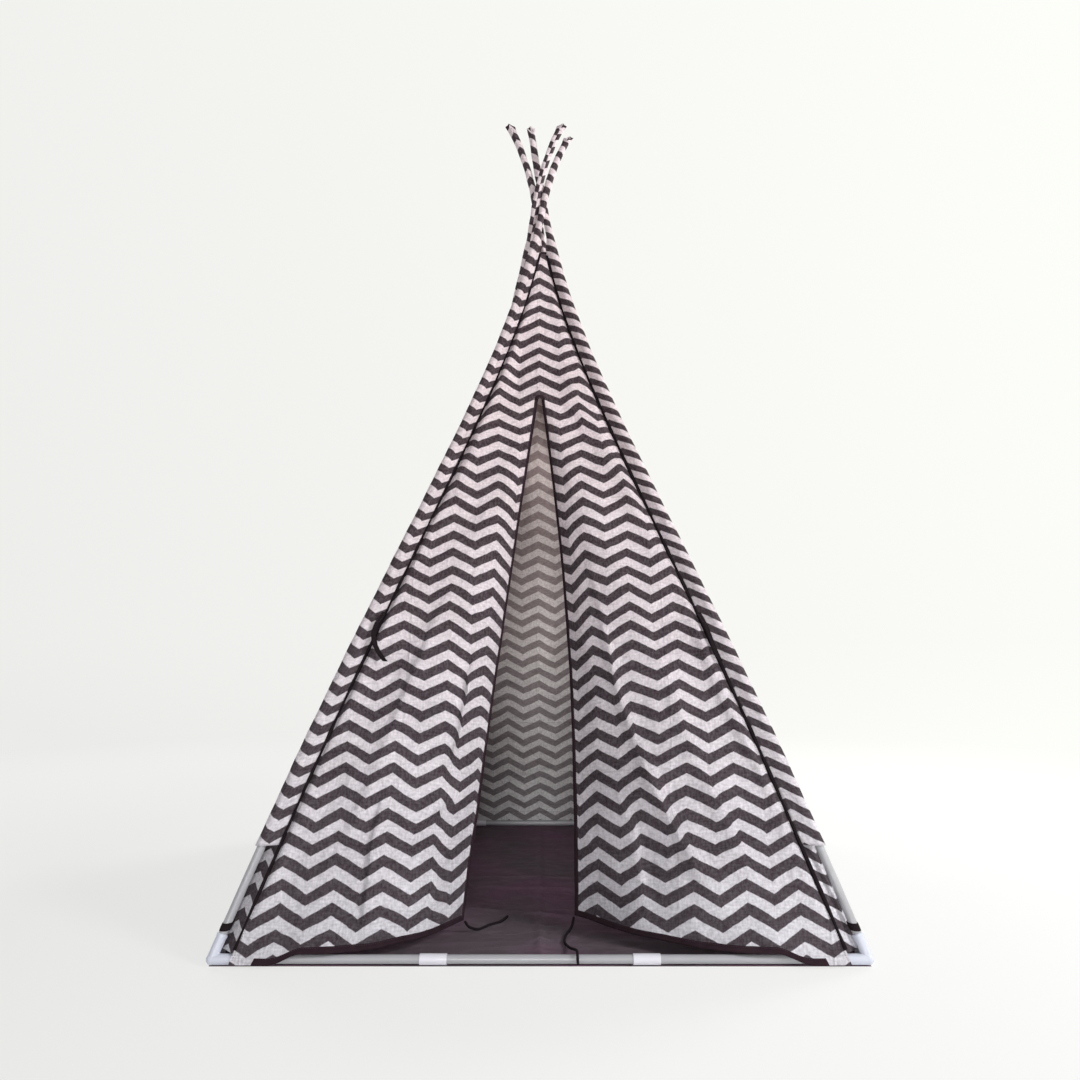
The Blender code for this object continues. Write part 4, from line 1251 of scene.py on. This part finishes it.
strap_top, strap_length, strap_width = 0.65, 0.118, 0.011
share = np.linspace(0, 1, 40)
half = np.linspace(-strap_width / 2, strap_width / 2, 7)
for side, corner in (("left", "front_left"), ("right", "front_right")):
    z = strap_top - strap_length * float(pole_lean(corner, 0.6)) * share
    seam = seam_line(corner, z, (0, -1))
    lift = 0.0065 + 0.006 * share**3 + 0.0012 * np.sin(share * 9)
    swing = 0.003 * np.sin(5 * share)
    if side == "left":
        # It has swung inward below its stitching
        swing = 0.05 * share**2 - 0.012 * np.sin(math.pi * share)
    middle = seam + stacked(swing, -lift, 0)
    curl = 0.0008 * (half / (strap_width / 2)) ** 2
    turn = 0.5 * np.sin(3.5 * share)[:, None]
    aside, ahead = half * np.cos(turn), curl + half * np.sin(turn)
    rows = middle[:, None] + stacked(aside, ahead, 0)
    uv = stacked(half, (share * strap_length)[:, None])
    strap = grid_piece(f"strap_{side}", rows, tie_black, uv, f"{side}_tie_back")
    square = [rows[2, 1], rows[2, 5], rows[8, 5], rows[8, 1], rows[2, 1], rows[8, 5]]
    tops = np.array([a + (b - a) * t for a, b in zip(square, square[1:]) for t in (0, 0.25, 0.5, 0.75)])
    stitch_lines[f"{side}_tie_back"] = [tops - np.array([0, 0.0003, 0])]
    face_out(strap)
    add_thickness(strap, 0.0011)
    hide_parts(f"tie_back_strap_{side}")

# Stitching
# Cotton thread in a running lockstitch along every seam, hem and binding, sewn through all the layers there.
# The tie-back straps are held by a stitched square at their upper ends.

thread_dark, place, shader = surface("thread_dark", Roughness=0.8, Specular_IOR_Level=0.2)
twist = grain(place, 2400.0, 2.0)
drive(shader, "Base Color", mixed(twist, paint(58, 42, 50), paint(98, 80, 88)))
drive(shader, "Normal", bump(twist, 0.4, 0.0003))

stitch_rows = bpy.data.node_groups.new("stitch_rows", "GeometryNodeTree")
stitch_rows.interface.new_socket("Geometry", in_out="OUTPUT", socket_type="NodeSocketGeometry")
kinds = {"Geometry": "Geometry", "Pitch": "Float", "Length": "Float", "Thickness": "Float", "Thread": "Material"}
sockets = {
    name: stitch_rows.interface.new_socket(name, in_out="INPUT", socket_type=f"NodeSocket{kind}")
    for name, kind in kinds.items()
}
start = Field(stitch_rows)
given = start.node("NodeGroupInput")
given = {name: Field(stitch_rows, given.socket.node.outputs[name]) for name in sockets}
rows = start.node("GeometryNodeMeshToCurve", None, [given["Geometry"]])
rows = start.node("GeometryNodeResampleCurve", {"mode": "LENGTH"}, {"Curve": rows, "Length": given["Pitch"]})
stitch = start.node("GeometryNodeMeshIcoSphere", None, {"Radius": 0.5, "Subdivisions": 1})
stitch = start.node("GeometryNodeSetShadeSmooth", None, [stitch])
ahead = start.node("GeometryNodeInputTangent")
turned = start.node("FunctionNodeAlignRotationToVector", {"axis": "Z"}, {"Vector": ahead})
shape = start.node("ShaderNodeCombineXYZ", None, [given["Thickness"], given["Thickness"], given["Length"]])
copies = {"Points": rows, "Instance": stitch, "Rotation": turned, "Scale": shape}
placed = start.node("GeometryNodeInstanceOnPoints", None, copies)
placed = start.node("GeometryNodeRealizeInstances", None, [placed])
placed = start.node("GeometryNodeSetMaterial", None, {"Geometry": placed, "Material": given["Thread"]})
start.node("NodeGroupOutput", None, [placed], None)

stitch_sizes = {"Pitch": 0.0042, "Length": 0.003, "Thickness": 0.0007, "Thread": thread_dark}
for body, lines in stitch_lines.items():
    points, edges = [], []
    for line in lines:
        edges += [(len(points) + i, len(points) + i + 1) for i in range(len(line) - 1)]
        points += [tuple(p) for p in line]
    mesh = bpy.data.meshes.new(f"stitch_lines_{body}")
    mesh.from_pydata(points, edges, [])
    rows = linked(f"stitch_lines_{body}", mesh)
    sewn = rows.modifiers.new("sewn", "NODES")
    sewn.node_group = stitch_rows
    for name, value in stitch_sizes.items():
        sewn[sockets[name].identifier] = value
    made = linked(f"stitches_{body}", applied(rows))
    bpy.data.objects.remove(rows, do_unlink=True)
    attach(made, body)

# Floor, light and air
# A plain pale studio floor that keeps a soft shadow. A lamp behind the camera, one above on the right that
# shows the folds and two behind the tent share the work with the pale room.

mesh = bpy.data.meshes.new("studio_floor")
mesh.from_pydata([(-60, -60, 0), (60, -60, 0), (60, 60, 0), (-60, 60, 0)], [], [(0, 1, 2, 3)])
studio_floor = linked("studio_floor", mesh)


shown_rays = ("Is Camera Ray", "Is Glossy Ray", "Is Transmission Ray")


def seen_rays(tree):
    """1 where the camera sees the surface itself, or sees it in gloss or through glass."""
    rays = [Field(tree).node("ShaderNodeLightPath", None, (), name) for name in shown_rays]
    return (rays[0] + rays[1] + rays[2]).clamped()


floor_pale, place, shader = surface("floor_pale", Roughness=0.9, Specular_IOR_Level=0.0)
tree = place.tree
shader.inputs["Base Color"].default_value = paint(236, 236, 234)
x, y, z = split(place)
away = (x * x + y * y + 0.01).math("SQRT")
spread = ((away - 1.3) / 2.4).clamped()
# The air is paler on the right, as in the photo
air_tones = paint(235, 235, 233), paint(253, 254, 249)
near_tone = mixed((0.5 + x * 0.4).clamped(), paint(240, 240, 238), paint(255, 255, 253))
far_tone = mixed((0.5 + x / away * 0.75).clamped(), *air_tones)
glow = Field(tree).node("ShaderNodeEmission", None, {"Color": mixed(spread, near_tone, far_tone)})
blend = seen_rays(tree) * (0.76 + spread * 0.24)
covered = Field(tree).node("ShaderNodeMixShader", None, [blend, Field(tree, shader.outputs[0]), glow])
tree.links.new(covered.socket, tree.nodes["Material Output"].inputs["Surface"])
mesh.materials.append(floor_pale)
studio_floor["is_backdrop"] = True

room = bpy.data.worlds.new("room")
bpy.context.scene.world = room
room.use_nodes = True
tree = room.node_tree
air = tree.nodes["Background"]
air.inputs["Color"].default_value = paint(244, 244, 246)
air.inputs["Strength"].default_value = 0.26
x, y, z = split(Field(tree).node("ShaderNodeTexCoord", None, (), 0))
tone = mixed((0.5 + x * 0.75 + z * 0.3).clamped(), *air_tones)
backdrop = Field(tree).node("ShaderNodeBackground", None, {"Color": tone, "Strength": 1.0})
layers = [seen_rays(tree), Field(tree, air.outputs[0]), backdrop]
covered = Field(tree).node("ShaderNodeMixShader", None, layers)
tree.links.new(covered.socket, tree.nodes["World Output"].inputs["Surface"])

for name, spot, wide, high, power in (
    ("lamp_behind_camera", (-0.25, -6.2, 1.15), 1.1, 2.0, 135.0),
    ("lamp_above_right", (3.2, -2.3, 2.3), 0.9, 0.9, 105.0),
    ("lamp_behind_right", (3.0, 2.4, 2.6), 1.4, 1.4, 130.0),
    ("lamp_behind_left", (-2.6, 2.8, 2.2), 2.0, 2.0, 70.0),
):
    lamp = bpy.data.lights.new(name, "AREA")
    lamp.shape = "RECTANGLE"
    lamp.size, lamp.size_y = wide, high
    lamp.energy = power
    lamp_object = linked(name, lamp)
    lamp_object.location = spot
    toward = Vector((0, 0, 0.8)) - Vector(spot)
    lamp_object.rotation_euler = toward.to_track_quat("-Z", "Y").to_euler()

# Daylight that the thin cotton would let through to the inside
for name, height, size, power in (("lamp_inside_high", 1.02, 0.06, 0.3), ("lamp_inside_low", 0.5, 0.15, 1.2)):
    lamp = bpy.data.lights.new(name, "POINT")
    lamp.shadow_soft_size = size
    lamp.energy = power
    lamp_object = linked(name, lamp)
    lamp_object.location = (0, 0.06, height)
    lamp_object.visible_camera = False

bpy.context.scene.view_settings.view_transform = "Standard"

low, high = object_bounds()
